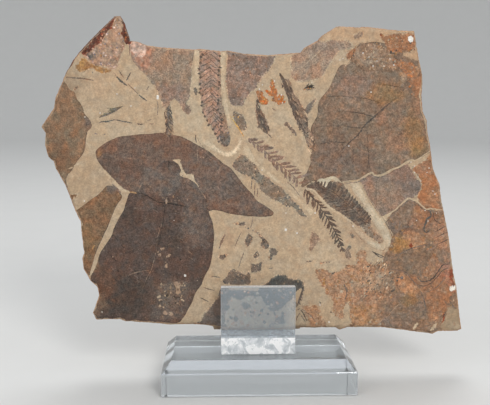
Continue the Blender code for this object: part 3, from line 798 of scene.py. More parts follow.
# Soft stains, as groups of (centre, half width and half height in cells, colour, strength), each with
# the kinds of surface that it tints.
ON_STONE = (STONE, CREAM_KIND)
ON_FILM = (FILM,)
ON_CRUST = (CRUST,)
WASHES = (
    (ON_STONE, (
        # bare stone
        ((80, 185), (40, 35), TAN_LEFT, 0.8), ((70, 85), (16, 16), FILM_UMBER, 0.45),
        ((196, 115), (26, 40), TAN_LIGHT, 0.8), ((340, 31), (45, 14), TAN_WARM, 0.9),
        ((395, 40), (30, 16), TAN_WARM, 0.9), ((275, 120), (34, 34), TAN_LIGHT, 0.6),
        ((112, 80), (30, 14), TAN_WARM, 0.3), ((235, 245), (28, 22), TAN_LIGHT, 0.35),
        ((325, 262), (30, 14), TAN_LIGHT, 0.6), ((362, 232), (18, 12), STAIN_TAN, 0.5),
        ((228, 238), (7, 10), STAIN_TAN, 0.5), ((150, 300), (8, 8), CREAM_DULL, 0.3),
        ((120, 130), (30, 8), TAN_LIGHT, 0.5), ((99, 88), (7, 12), TAN_WARM, 0.5),
    )),
    (ON_FILM, (
        # left-edge leaf and strip leaf
        ((68, 98), (14, 14), FILM_UMBER, 0.9), ((66, 132), (16, 18), FILM_UMBER, 0.6),
        ((88, 122), (5, 9), FILM_GREY, 0.8), ((60, 160), (16, 16), FILM_OLIVE, 0.8),
        ((60, 155), (12, 20), RUST_DARK, 0.25), ((92, 210), (24, 16), FILM_OLIVE, 0.7),
        ((84, 240), (12, 20), OCHRE_DEEP, 0.2), ((112, 188), (7, 6), FILM_GREY, 0.8),
        ((92, 262), (8, 10), FILM_OLIVE, 0.8),
        # lance leaf
        ((112, 160), (26, 18), FILM_BROWN, 0.75), ((146, 147), (28, 12), FILM_BROWN, 0.8),
        ((108, 170), (10, 14), FILM_DARK, 0.35), ((175, 143), (24, 8), FILM_BROWN, 0.5),
        ((215, 180), (34, 24), FILM_GREY, 0.65), ((250, 204), (18, 10), FILM_GREY, 0.8),
        ((99, 154), (3, 4), OCHRE_DEEP, 0.45), ((133, 170), (16, 12), PLUM_BROWN, 0.4),
        ((235, 190), (10, 12), PLUM_BROWN, 0.35),
        # broad leaf
        ((160, 182), (26, 18), FILM_GREY, 0.85), ((192, 198), (12, 16), FILM_GREY, 0.6),
        ((196, 228), (16, 26), FILM_GREY, 0.7), ((138, 232), (24, 24), PLUM_BROWN, 0.8),
        ((128, 214), (12, 12), FILM_DARK, 0.6), ((150, 262), (34, 22), PLUM_BROWN, 0.5),
        ((125, 298), (34, 22), FILM_DARK, 0.85), ((105, 283), (12, 20), RUST_DARK, 0.8),
        ((96, 306), (12, 12), FILM_UMBER, 0.45), ((172, 296), (26, 22), FILM_GREY, 0.35),
        ((166, 314), (20, 8), FILM_GREY, 0.5), ((170, 240), (14, 16), FILM_DARK, 0.45),
        ((205, 262), (9, 20), PLUM_BROWN, 0.45), ((145, 205), (10, 6), FILM_GREY, 0.4),
        # leaves along the top
        ((150, 60), (14, 16), RUST_PINK, 0.35), ((176, 70), (20, 22), FILM_PALE, 0.7),
        ((174, 94), (16, 12), FILM_MAUVE, 0.95), ((188, 108), (7, 9), FILM_MAUVE, 0.7),
        ((250, 60), (26, 12), FILM_GREY, 0.35), ((240, 84), (16, 16), FILM_MAUVE, 0.6),
        ((234, 98), (10, 9), FILM_GREY, 0.35), ((310, 66), (24, 16), LEAF_TAN, 0.7),
        ((325, 47), (20, 9), FILM_MAUVE, 0.55),
        # leaf F
        ((357, 86), (26, 14), FILM_MAUVE, 0.65), ((334, 118), (18, 22), BROWN_GREY, 0.75),
        ((392, 135), (24, 24), BROWN_WARM, 0.75), ((396, 150), (22, 14), LEAF_TAN, 0.3),
        ((330, 158), (18, 20), FILM_GREY, 0.55), ((358, 162), (22, 14), FILM_GREY, 0.5),
        ((385, 93), (22, 13), OCHRE_DEEP, 0.48), ((412, 130), (11, 28), OCHRE_DEEP, 0.45),
        ((418, 105), (6, 14), RUST, 0.40), ((404, 112), (9, 14), BROWN_GREY, 0.5),
        ((420, 146), (10, 10), OCHRE_DEEP, 0.45), ((350, 104), (14, 8), LEAF_TAN, 0.3),
        ((378, 74), (26, 8), BROWN_GREY, 0.5), ((340, 135), (10, 8), PLUM_BROWN, 0.3),
        # leaf G
        ((385, 195), (20, 18), NEEDLE_LIGHT, 0.7), ((406, 178), (12, 12), FILM_GREY, 0.45),
        ((414, 188), (6, 10), FILM_GREY, 0.6),
    )),
    (ON_CRUST, (
        # rusty right edge
        ((428, 186), (14, 20), ORANGE, 0.25), ((424, 168), (10, 9), RUST_PINK, 0.6),
        ((436, 196), (8, 12), STAIN_TAN, 0.4),
        # lower right ground
        ((404, 214), (18, 12), BROWN_WARM, 0.8), ((425, 218), (14, 12), RUST, 0.55),
        ((440, 232), (12, 16), RUST_PINK, 0.75), ((415, 236), (14, 10), RUST, 0.4),
        ((399, 245), (9, 9), OCHRE, 0.8), ((405, 260), (24, 10), BROWN_GREY, 0.9),
        ((445, 262), (8, 16), FILM_MAUVE, 0.5), ((375, 285), (24, 16), CREAM_DULL, 0.35),
        ((365, 300), (14, 10), RUST_PINK, 0.7), ((362, 315), (14, 14), OCHRE, 0.38),
        ((384, 296), (12, 9), RUST, 0.55), ((408, 283), (14, 9), ORANGE, 0.34),
        ((437, 296), (13, 18), RUST, 0.8), ((404, 312), (24, 18), BROWN_GREY, 0.75),
        ((410, 299), (9, 7), OCHRE_DEEP, 0.55), ((436, 322), (9, 9), STAIN_TAN, 0.5),
        ((424, 290), (9, 10), RUST, 0.4), ((436, 272), (8, 10), RUST_PINK, 0.6),
        ((392, 228), (8, 6), FILM_GREY, 0.7), ((413, 222), (6, 6), FILM_MAUVE, 0.5),
        # rusty run down leaf F's right side
        ((421, 80), (7, 26), RUST, 0.8), ((402, 66), (12, 8), ORANGE, 0.2),
    )),
    (ON_STONE, (
        # where the crust's stains run on over bare stone
        ((350, 290), (10, 10), STAIN_TAN, 0.5), ((347, 258), (10, 8), STAIN_TAN, 0.35),
        ((316, 322), (12, 8), STAIN_TAN, 0.45),
    )),
)


# ---------------------------------------------------------------- places, curves and shapes
def eye_axes():
    """The eye's right, up and forward directions."""
    forward = Vector((
        math.sin(EYE_TURN_RIGHT) * math.cos(EYE_TIP_DOWN),
        math.cos(EYE_TURN_RIGHT) * math.cos(EYE_TIP_DOWN),
        -math.sin(EYE_TIP_DOWN),
    ))
    level_right = Vector((math.cos(EYE_TURN_RIGHT), -math.sin(EYE_TURN_RIGHT), 0.0))
    roll = Matrix.Rotation(-EYE_ROLL, 3, forward)
    return roll @ level_right, roll @ level_right.cross(forward), forward


def sheet_to_world(places, depths):
    """Carries sheet places along their lines of sight to these depths behind the slab's face."""
    right, up, forward = (np.array(axis) for axis in eye_axes())
    across = (places[:, 0] - SHEET_CENTRE[0]) / SHEET_DISTANCE
    raised = (SHEET_CENTRE[1] - places[:, 1]) / SHEET_DISTANCE
    sight = forward + across[:, None] * right + raised[:, None] * up
    reach = (SLAB_FACE_Y + depths - EYE.y) / sight[:, 1]
    return np.array(EYE) + sight * reach[:, None]


def unit(rows):
    """Rows scaled to a length of 1."""
    length = np.linalg.norm(rows, axis=-1, keepdims=True)
    return rows / np.maximum(length, 1e-9)


def smooth_curve(points, step, closed=True):
    """A round curve through the points, with a point about every step."""
    knots = np.array(points, float)
    count = len(knots)
    if closed:
        tangents = unit(np.roll(knots, -1, 0) - np.roll(knots, 1, 0))
    else:
        padded = np.vstack((knots[:1], knots, knots[-1:]))
        tangents = unit(padded[2:] - padded[:-2])
    curve = []
    for here in range(count if closed else count - 1):
        after = (here + 1) % count
        run = np.linalg.norm(knots[after] - knots[here])
        steps = max(1, round(run / step))
        share = (np.arange(steps) / steps)[:, None]
        square, cube = share**2, share**3
        curve.append(
            (2 * cube - 3 * square + 1) * knots[here]
            + (cube - 2 * square + share) * run * tangents[here]
            + (3 * square - 2 * cube) * knots[after]
            + (cube - square) * run * tangents[after]
        )
    if not closed:
        curve.append(knots[-1:])
    return np.vstack(curve)


def straight_curve(points, step):
    """A closed ring of straight runs, with a point about every step."""
    knots = np.array(points, float)
    ring = []
    for here, after in zip(knots, np.roll(knots, -1, 0)):
        steps = max(1, round(np.linalg.norm(after - here) / step))
        share = (np.arange(steps) / steps)[:, None]
        ring.append(here + (after - here) * share)
    return np.vstack(ring)


def wander(places, pitch, seed, octaves=4):
    """Smooth chance between about -1 and 1 at sheet places. pitch is the patches' size in cells."""
    shift = SEED_SHIFT * seed
    return np.array([
        noise.fractal(
            Vector((x / pitch + shift, y / pitch - shift, seed)), NOISE_ROUGHNESS, NOISE_STEP, octaves
        )
        for x, y in places
    ])


def ragged(ring, reach, pitch=3.0):
    """Shakes a ring by up to about reach cells, in the same way wherever two rings share a place."""
    moves = np.stack((wander(ring, pitch, 1, 2), wander(ring, pitch, 2, 2)), axis=1)
    return ring + reach * moves


def ribbon(points, width, taper=0.5):
    """A ring round a line: full width in its middle, and taper times that at its ends."""
    line = smooth_curve(points, SHAPE_STEP, closed=False)
    along = unit(np.gradient(line, axis=0))
    across = np.stack((-along[:, 1], along[:, 0]), axis=1)
    share = np.linspace(0.0, 1.0, len(line))
    half = width / 2 * (taper + (1 - taper) * np.sin(math.pi * share))[:, None]
    return np.vstack((line + across * half, (line - across * half)[::-1])), line[1:-1]


def needle(root, turn, length, width, chance, profile=(0.45, 0.85, 1.0, 1.0, 0.7)):
    """A shoot's needle: narrow at its root, widest past its middle, blunt at its tip."""
    bend = math.radians(chance.uniform(-9, 9))
    ring_left, ring_right, ridge = [], [], []
    place = np.array(root, float)
    for share, spread in enumerate(profile):
        heading = math.radians(turn) + bend * share / 2
        ahead = np.array((math.cos(heading), math.sin(heading)))
        aside = np.array((-ahead[1], ahead[0])) * spread * width / 2
        ring_left.append(place + aside)
        ring_right.append(place - aside)
        ridge.append(place)
        place = place + ahead * length / len(profile)
    return np.array(ring_left + [place] + ring_right[::-1]), np.array(ridge[1:])


def chip(centre, radius, chance):
    """A small uneven polygon."""
    start = chance.uniform(0, math.tau)
    turns = [start + math.tau * corner / CHIP_CORNERS for corner in range(CHIP_CORNERS)]
    spans = [radius * chance.uniform(0.7, 1.25) for _ in turns]
    return np.array([
        (centre[0] + span * math.cos(turn), centre[1] + span * math.sin(turn))
        for span, turn in zip(spans, turns)
    ])


def inside(places, ring):
    """Which places lie inside a ring."""
    x, y = places[:, 0], places[:, 1]
    odd = np.zeros(len(places), bool)
    for (x0, y0), (x1, y1) in zip(ring, np.roll(ring, 1, 0)):
        if y0 != y1:
            crosses = ((y0 > y) != (y1 > y)) & (x < (x1 - x0) * (y - y0) / (y1 - y0) + x0)
            odd ^= crosses
    return odd


def distance_to(places, line, closed=False):
    """Each place's distance from a line of points, in cells."""
    best = np.full(len(places), 1e9)
    ends = np.roll(line, -1, 0) if closed else line[1:]
    for start, end in zip(line, ends):
        run = end - start
        square = max(float(run @ run), 1e-12)
        share = np.clip(((places - start) @ run) / square, 0, 1)
        gap = np.linalg.norm(places - (start + share[:, None] * run), axis=1)
        best = np.minimum(best, gap)
    return best


def smoothstep(value):
    """0 up to 0, 1 from 1, and an even S between them."""
    value = np.clip(value, 0, 1)
    return value * value * (3 - 2 * value)


class Drawing:
    """Closed shapes on the sheet in painting order, so that a later one lies on top.

    Each has a colour, a kind, a relief (how far, in mm, its inside stands out from the stone) and a
    fade: the cells over which its edge frays, or 0 for one mesh cell. Loose places are extra mesh
    points, with a relief of their own.
    """

    def __init__(self):
        self.places = []
        self.reliefs_at = []
        self.rings = []
        self.tints = []
        self.kinds = []
        self.reliefs = []
        self.fades = []

    def add_places(self, places, relief):
        start = len(self.places)
        self.places.extend(tuple(place) for place in places)
        self.reliefs_at.extend([relief] * len(places))
        return range(start, start + len(places))

    def shape(self, ring, tint, kind, relief=0.0, fade=0.0):
        self.rings.append(list(self.add_places(ring, 0.0)))
        self.tints.append(tint)
        self.kinds.append(kind)
        self.reliefs.append(relief)
        self.fades.append(fade)

    def mark(self, outline, tint, kind, relief=0.0, rough=0.35, fade=0.0):
        self.shape(ragged(smooth_curve(outline, SHAPE_STEP), rough), tint, kind, relief, fade)

    def chunk(self, outline, rough, tint, kind, relief, fade=0.0):
        """A fragment with sharp corners."""
        self.shape(ragged(straight_curve(outline, SHAPE_STEP), rough), tint, kind, relief, fade)

    def marks(self, *rows):
        """Several marks, each a row of what mark() takes."""
        for row in rows:
            self.mark(*row)

    def line(self, points, width, tint, kind, relief):
        ring, middle = ribbon(points, width * LINE_SPREAD)
        self.shape(ragged(ring, 0.12), tint, kind)
        self.add_places(middle, relief)

    def dot(self, outline, tint, kind, relief=0.0):
        """A small shape with one place in its middle, so that its edge is soft."""
        self.shape(outline, tint, kind)
        self.add_places([np.mean(outline, axis=0)], relief)


def shade(tint, amount):
    """A colour made darker or lighter."""
    return tuple(channel * amount for channel in tint)


def shoot_needles(shoot, chance):
    """Each needle's root, direction in degrees, length and width."""
    axis = smooth_curve(shoot.axis, 1.0, closed=False)
    steps = int(len(axis) / shoot.spacing)
    for number in range(steps):
        for side, offset in ((shoot.left, 0.0), (shoot.right, 0.5)):
            share = (number + offset + chance.uniform(-0.15, 0.15)) / steps
            share = min(max(share, 0.0), 1.0)
            root = axis[min(int(share * (len(axis) - 1)), len(axis) - 1)]
            turn = np.interp(share, (0, 0.5, 1), side.turns) + chance.uniform(-7, 7)
            length = np.interp(share, (0, 0.5, 1), side.lengths) * chance.uniform(0.82, 1.1)
            yield root, turn, length, shoot.width * chance.uniform(0.8, 1.15)


def draw_shoot(drawing, shoot, chance):
    """An axis with needles on both sides: soft bodies, then the dark lower edges and tips."""
    needles = list(shoot_needles(shoot, chance))
    drawing.line(shoot.axis, shoot.stem, shade(shoot.edge, 1.1), FILM, 0.08)
    for root, turn, length, width in needles:
        ring, ridge = needle(root, turn, length, width * LINE_SPREAD, chance)
        drawing.shape(ring, shade(shoot.body, chance.uniform(0.85, 1.12)), FILM)
        drawing.add_places(ridge, 0.16)
    if not shoot.edge_width:
        return
    for root, turn, length, width in needles:
        heading = math.radians(turn)
        aside = heading + (math.pi / 2 if math.cos(heading) > 0 else -math.pi / 2)
        low = root + np.array((math.cos(aside), math.sin(aside))) * width * 0.45
        ring, ridge = needle(low, turn, length * chance.uniform(0.85, 1.02),
                             shoot.edge_width * LINE_SPREAD, chance, EDGE_PROFILE)
        drawing.shape(ring, shade(shoot.edge, chance.uniform(0.85, 1.3)), FILM)
        drawing.add_places(ridge, -0.05)
        if chance.random() < shoot.dark_tips:
            tip = low + np.array((math.cos(heading), math.sin(heading))) * length * 0.95
            drawing.dot(chip(tip, 2.5 * shoot.edge_width, chance), shade(shoot.edge, 0.85), FILM, 0.1)


def scatter(ring, count, chance):
    """Random places inside a ring."""
    low, high = ring.min(0), ring.max(0)
    found = []
    while len(found) < count:
        place = np.array([[chance.uniform(low[0], high[0]), chance.uniform(low[1], high[1])]])
        if inside(place, ring)[0]:
            found.append(place[0])
    return found


def draw_flecks(drawing, chance, *rows):
    """Scattered small patches, as rows of (ring, count, smallest and largest size, colours, kind,
    relief), and then (degrees, length in cells) for long thin ones."""
    for ring, count, sizes, tints, kind, relief, *stretch in rows:
        for place in scatter(np.array(ring, float), count, chance):
            tint = chance.choice(tints)
            size = chance.uniform(*sizes)
            tint = shade(tint, chance.uniform(0.85, 1.1))
            if stretch:
                degrees, span = stretch[0]
                turn = degrees + chance.uniform(-18, 18)
                length = span * chance.uniform(0.6, 1.2)
                outline, ridge = needle(place, turn, length, size * LINE_SPREAD, chance)
                drawing.shape(outline, tint, kind)
                drawing.add_places(ridge, relief)
            else:
                drawing.dot(chip(place, size * 1.25, chance), tint, kind, relief)


GROUND_PARTS = (
    # (outline, colour, how far its edge frays)
    (UPPER_BROWN_GROUND, FILM_BROWN, 5.0), (EDGE_RED_GROUND, PINK_RED, 5.0),
    (BROWN_GROUND, BROWN_GREY, 4.0), (LOW_BROWN_GROUND, FILM_MAUVE, 4.0), (PURPLE_GROUND, FILM_MAUVE, 3.0),
    (RED_RUST_GROUND, RUST, 3.0), (GOLD_GROUND, STAIN_ORANGE, 4.0), (OCHRE_GROUND, OCHRE, 3.0),
    (DARK_GROUND, INK_SOFT, 2.0), (PINK_EDGE_GROUND, RUST_PINK, 3.0), (PINK_GROUND, RUST, 3.0),
    (ORANGE_GROUND, STAIN_ORANGE, 3.0), (SWIRL, RUST, 1.0), (RED_EDGE, RUST_RED, 2.0),
    (PURPLE_BROWN, FILM_MAUVE, 3.0),
)
CRUMBLY_GROUND = ((362, 266), (383, 259), (392, 268), (402, 278), (394, 296), (376, 300), (360, 298))
SPECKLED_GROUND = ((352, 296), (385, 292), (440, 285), (455, 300), (440, 326), (352, 324))
SPECKLED_UPPER_GROUND = (
    (390, 215), (408, 203), (445, 214), (452, 262), (430, 285), (392, 262), (388, 235),
)


def draw_ground(drawing, chance):
    """The iron-stained ground at the lower right, with what lies on it."""
    drawing.marks(
        (RIGHT_GROUND, BROWN_WARM, CRUST, -0.25, 1.6, 4.0),
        (RIGHT_EDGE_RUST, RUST, CRUST, -0.12, 0.9, 1.5),
    )
    for outline, tint, fade in GROUND_PARTS:
        drawing.mark(outline, tint, CRUST, 0.05, 1.0, fade)
    drawing.mark(TAN_CORNER, TAN_CORNER_TINT, STONE, 0.15, 0.7, 2.0)
    draw_flecks(drawing, chance,
                (TAN_CORNER, 22, (0.5, 1.3), (INK_SOFT, STAIN_TAN, NEEDLE_LIGHT), STONE, 0.1))
    stain_tones = (CREAM_DULL, RUST, STAIN_ORANGE, OCHRE)
    for outline in LOWER_STAINS:
        drawing.mark(outline, STAIN_SOLID, CRUST, 0.03, 1.5, 2.0)
        size = np.ptp(np.array(outline), axis=0).prod()
        draw_flecks(drawing, chance, (outline, int(size / 26), (0.6, 1.7), stain_tones, CRUST, 0.05))
    draw_flecks(
        drawing, chance,
        (CRUMBLY_GROUND, 95, (0.5, 1.0), (SLATE, INK, INK_SOFT), FILM, 0.10, (-50, 2.6)),
        (CRUMBLY_GROUND, 70, (0.5, 1.0), (CREAM, CREAM_DULL, STAIN_TAN), FILM, 0.12, (-60, 3.5)),
        (SPECKLED_GROUND, 130, (0.5, 1.5), (OCHRE, RUST, INK_SOFT, CREAM_DULL), CRUST, 0.05),
        (SPECKLED_UPPER_GROUND, 120, (0.5, 1.5), (RUST, INK_SOFT, STAIN_TAN, OCHRE), CRUST, 0.05),
    )


def draw_leaves(drawing):
    """The broad and narrow leaves, with a dark hairline of painted shadow round the largest."""
    drawing.marks(
        (LEFT_EDGE_LEAF, FILM_UMBER, FILM, -0.10), (STRIP_LEAF, FILM_OLIVE, FILM, -0.08),
        (LEFT_STUB, FILM_OLIVE, FILM, -0.08), (LANCE_LEAF, FILM_BROWN, FILM, 0.16),
        (BROAD_LEAF, PLUM_BROWN, FILM, 0.16),
    )
    # Painted shadow: a dark hairline along the raised edge of each of these leaves.
    for leaf in (LANCE_LEAF, BROAD_LEAF, LEFT_EDGE_LEAF, STRIP_LEAF, LEAF_F):
        drawing.line(leaf + leaf[:1], 0.5, NEEDLE_DARK, FILM, 0.0)
    drawing.marks(
        (WORN_PATCH, WORN_TINT, FILM, -0.1, 1.5, 11.0), (CREAM_NOTCH, CREAM, CREAM_KIND, -0.2),
        (UPPER_MID_LEAF, FILM_PALE, FILM, -0.08), (PINK_PATCH, PINK_RUST, FACET, 0.0, 1.2, 4.0),
        (PINK_CORE, PINK_BRIGHT, FACET, 0.0, 1.2, 3.0), (LEAF_B, FILM_MAUVE, FILM, 0.10, 0.9, 1.5),
    )
    drawing.line(PALE_RIB_OF_B, 0.5, PINK_WHITE, FILM, 0.1)
    drawing.marks(
        (LEAF_D, LEAF_TAN, FILM, -0.08, 0.35, 2.0), (LEAF_F, BROWN_GREY, FILM, 0.42),
        (LEAF_G, FILM_MAUVE, FILM, 0.22), (STRIP_K, STRIP_GREY, FILM, 0.06, 0.8, 1.5),
    )


def draw_upper_right(drawing, chance):
    """The rusty and sparkling patches round leaf F's top."""
    drawing.marks(
        (RUST_BAND, RUST, CRUST, 0.25, 1.2, 5.0), (TAN_PATCH_F, STAIN_TAN, CRUST, 0.25, 1.0, 3.0),
        (SPARKLE_PATCH, FILM_PALE, CRUST, 0.35, 1.3, 5.0), (ORANGE_SPOT_F, RUST, CRUST, 0.1, 1.0, 3.0),
        (TOP_RIGHT_PATCH, RUST, CRUST, 0.1, 1.2, 3.0), (TAN_WEDGE, TAN_WARM, STONE, 0.0, 0.35, 2.0),
        (DARK_PATCH_F, FILM_MAUVE, FILM, 0.42, 0.8, 2.5),
        *((outline, LEAF_TAN, CRUST, 0.0, 1.0, 2.5) for outline in GREY_SPOTS),
    )
    draw_flecks(
        drawing, chance,
        (SPARKLE_PATCH, 150, (0.4, 1.1), (INK_SOFT, CREAM_DULL, OCHRE, SLATE, CREAM), CRUST, 0.35),
        (TOP_RIGHT_PATCH, 80, (0.4, 1.3), (RUST_RED, INK, ORANGE, OCHRE, CREAM_DULL), CRUST, 0.12),
        (RUST_BAND, 60, (0.4, 1.3), (RUST_RED, ORANGE, STAIN_TAN), CRUST, 0.2),
    )


def draw_tracks(drawing):
    """Paler stone that was laid bare around the shoots."""
    drawing.marks(
        (STRIP_BESIDE_A, CREAM, CREAM_KIND, 0.05, 0.35, 1.5), (FROND_A_BED, FILM_PALE, FILM, -0.12),
        (TRACK_A, CREAM, CREAM_KIND, -0.05, 0.35, 1.5), (U_RIDGE, RIDGE_BRIGHT, CREAM_KIND, 0.20, 0.5, 4.0),
        (TRACK_I, CREAM, CREAM_KIND, 0.15, 0.35, 2.0), (TRACK_H, TRACK_PALE, CREAM_KIND, 0.25, 0.35, 1.5),
        (CREAM_BLOB, BLOB_PALE, CREAM_KIND, 0.40), (LEDGE_2_WEDGE, CREAM, CREAM_KIND, 0.1),
    )


def draw_twigs(drawing, chance):
    """Crushed twigs and shoots, each on its bed, with the crumbs beside them."""
    twig_tones = (NEEDLE_BLACK, NEEDLE_DARK, NEEDLE_DARK, NEEDLE_BROWN, FILM_UMBER)
    for bed, tint, turn, count in CRUSHED_TWIGS:
        drawing.mark(bed, tint, FILM, -0.05, 0.6, 1.2)
        draw_flecks(drawing, chance, (bed, count, (0.8, 1.4), twig_tones, FILM, 0.1, (turn, 8.0)))
    drawing.mark(DARK_BLOTCH, NEEDLE_GREY, FILM, 0.0, 0.8, 1.0)
    draw_flecks(drawing, chance,
                (DARK_BLOTCH, 26, (0.4, 1.1), (SLATE, CREAM_DULL, INK_SOFT, GOLD), FILM, 0.1))
    drawing.marks(
        (LUMP_BY_E, LUMP_GREY, FILM, 0.1, 0.4, 0.8), (DASH_BY_E, LUMP_GREY, FILM, 0.1, 0.3),
        (TAIL_H, FILM_PALE, FILM, 0.0, 0.8, 2.0),
    )
    draw_flecks(drawing, chance,
                (TAIL_H, 16, (0.5, 1.2), (RUST, FILM_UMBER, CREAM_DULL, NEEDLE_BROWN), FILM, 0.1))
    drawing.mark(BARK_BY_F, FILM_PALE, FILM, 0.0, 0.8, 1.5)
    draw_flecks(
        drawing, chance,
        (BARK_BY_F, 46, (0.4, 0.9), (SLATE, INK_SOFT, CREAM_DULL, NEEDLE_BROWN), FILM, 0.1),
        (CRUMBS_BELOW_E, 30, (0.4, 0.8), (SLATE, NEEDLE_DARK), FILM, 0.1),
    )
    for shoot in SHOOTS:
        draw_shoot(drawing, shoot, chance)
    draw_flecks(
        drawing, chance,
        (SPRIG_BY_D, 5, (0.5, 0.9), (ORANGE, GOLD), FILM, 0.1),
        (FROND_H_BED, 70, (0.3, 0.5), (NEEDLE_LIGHT, FILM_UMBER, NEEDLE_BROWN), FILM, 0.1, (195, 5.0)),
        (TWIG_E, 30, (0.35, 0.6), (NEEDLE_LIGHT, TAN), FILM, 0.1, (56, 6.0)),
        (TWIG_C, 12, (0.3, 0.55), (NEEDLE_LIGHT, TAN), FILM, 0.1, (62, 6.0)),
    )
    drawing.mark(BUD_OF_A, LUMP_GREY, FILM, 0.1, 0.6, 1.2)
    draw_flecks(
        drawing, chance,
        (BUD_OF_A, 16, (0.4, 1.0), (SLATE, NEEDLE_DARK, BLUE_GREY), FILM, 0.1),
        (SPECKS_OF_A, 60, (0.3, 0.8), (BLUE_GREY, PINK_WHITE, FILM_GREY, NEEDLE_DARK), FILM, 0.1),
    )


STAND_WINDOW = ((221, 288), (297, 288), (297, 327), (221, 327))
WORN_CORE = ((155, 284), (186, 283), (187, 298), (180, 308), (158, 307))
BROAD_LEAF_LEFT = ((128, 200), (160, 206), (150, 262), (128, 300), (104, 292), (110, 262))
BROAD_LEAF_RIGHT = ((168, 208), (206, 214), (208, 250), (198, 276), (160, 262))


def draw_bits(drawing, chance):
    """Loose dark fragments, then the crumbs and worn spots on the leaves, and the orange stars."""
    for outline in MIDDLE_BITS:
        drawing.chunk(outline, 0.8, INK_SOFT, FILM, 0.04, 1.0)
        count = int(1.2 * np.ptp(np.array(outline), axis=0).min())
        draw_flecks(drawing, chance, (outline, count, (0.4, 1.2), (INK, SLATE, STAIN_TAN, TAN), FILM, 0.05))
    for outline in PALE_BITS:
        drawing.chunk(outline, 0.4, NEEDLE_GREY, FILM, 0.04, 0.6)
        draw_flecks(drawing, chance, (outline, 3, (0.4, 0.9), (INK_SOFT, SLATE_SOFT), FILM, 0.05))
    drawing.chunk(TRIANGLE_BIT, 0.3, FILM_PALE, FILM, 0.04)
    drawing.marks(
        (WEDGE_BY_PLATE, FILM_GREY, FILM, 0.05, 0.9, 3.0), (DARK_BEHIND_PLATE, SLATE, FILM, 0.08, 0.5, 2.5),
        *((outline, SLATE, FILM, 0.03, 1.3, 3.0) for outline in BITS_BEHIND_PLATE),
    )
    draw_flecks(
        drawing, chance,
        (STAND_WINDOW, 150, (0.6, 2.0), (INK_SOFT, SLATE, CREAM, TAN, STAIN_ORANGE), FILM, 0.03),
        (DARK_BEHIND_PLATE, 50, (0.5, 1.4), (INK_SOFT, INK, TAN, SLATE_SOFT), FILM, 0.05),
    )
    drawing.marks(*((outline, LEAF_TAN, STONE, 0.0, 0.5) for outline in CHIPS_IN_BROAD_LEAF))
    draw_flecks(
        drawing, chance,
        (WORN_CORE, 120, (0.4, 1.3), (TAN, LEAF_TAN, FILM_GREY, CRACK, FILM_DARK), STONE, 0.1),
        (BROAD_LEAF_LEFT, 60, (0.6, 1.1), (FILM_DARK, FILM_GREY, CRACK), FILM, -0.1, (24, 6.0)),
        (BROAD_LEAF_RIGHT, 40, (0.5, 0.9), (FILM_DARK, FILM_GREY, BROWN_GREY), FILM, -0.1, (30, 6.0)),
        (BROAD_LEAF, 240, (0.4, 1.2), (LEAF_TAN, FILM_UMBER, BROWN_GREY, FILM_DARK, CRACK), FILM, 0.06),
        (LANCE_LEAF, 150, (0.3, 1.0), (LEAF_TAN, FILM_MAUVE, FILM_DARK, FILM_GREY), FILM, 0.06),
        (LEAF_F, 110, (0.3, 0.9), (LEAF_TAN, FILM_GREY, RUST), FILM, 0.05),
        (LEAF_B, 150, (0.3, 1.1), (FILM_GREY, PLUM_BROWN, RUST, PINK_WHITE, FILM_DARK), FILM, 0.06),
        (STRIP_K, 130, (0.4, 1.2), (SLATE, INK_SOFT, FILM_PALE, CREAM_DULL, SLATE_SOFT), FILM, 0.06),
    )
    star_tones = (ORANGE_VIVID, ORANGE_VIVID, GOLD, RUST, PINK_RED)
    for outline in ORANGE_STARS:
        drawing.mark(outline, ORANGE, CRUST, 0.06, 0.8, 0.8)
        draw_flecks(drawing, chance, (outline, 20, (0.6, 1.4), star_tones, CRUST, 0.1))


def draw_corner(drawing, chance):
    """The knocked-off corner: a rough facet between two strips of dark iron rind."""
    facet_tones = (PALE_PINK, BLUE_GREY, PINK_WHITE, FILM_MAUVE, PALE_PINK, PINK_RED, OCHRE)
    drawing.mark(FACET_FACE, STAIN_TAN, FACET, 0.0, 0.9, 1.5)
    draw_flecks(drawing, chance, (FACET_FACE, 90, (0.9, 1.9), facet_tones, FACET, 0.15, (-48, 2.2)))
    drawing.marks(
        (LEFT_RIND, RIND_RED, RIND, -0.1, 0.6, 1.2), (RIGHT_RIND, RIND_RED, RIND, 0.0, 0.6, 1.2),
    )
    draw_flecks(
        drawing, chance,
        (LEFT_RIND, 40, (0.6, 1.4), (INK, RUST, RUST_RED, RUST_PINK, PINK_WHITE), RIND, 0.1),
        (RIGHT_RIND, 16, (0.6, 1.4), (CRACK, ORANGE, RUST_RED), RIND, 0.1),
    )
    drawing.marks(
        (OCHRE_LEFT, OCHRE, CRUST, 0.05, 0.9, 2.0), (OCHRE_RIGHT, OCHRE, CRUST, 0.05, 0.9, 1.5),
        (STEEL_SPOT, SLATE, FACET, 0.1, 0.7, 1.5),
    )
    drawing.line(RIM_LINE_LEFT, 1.6, STAIN_TAN, STONE, 0.0)


def draw_lines(drawing):
    """Stems, scratches, veins, crests and painted shadows, with the two long ledges and the chipped right
    edge.
    """
    for lines, kind, relief in (
        (STONE_LINES, FILM, -0.10), (GROUND_LINES, FILM, -0.15), (FILM_LINES, FILM, 0.10),
        (SHADOW_LINES, FILM, -0.10), (((LEDGE_LINE_1, 1.2, CREAM),), CREAM_KIND, 0.2),
        (((LEDGE_LINE_2, 1.1, CREAM),), CREAM_KIND, 0.1), (CREAM_LINES, CREAM_KIND, 0.15),
    ):
        for points, width, tint in lines:
            drawing.line(points, width, tint, kind, relief)
    drawing.marks(
        (RIGHT_BEVEL, CREAM, CREAM_KIND, -0.6, 0.8), (CHIP_EDGE, WHITE, CREAM_KIND, -0.2, 0.5),
    )


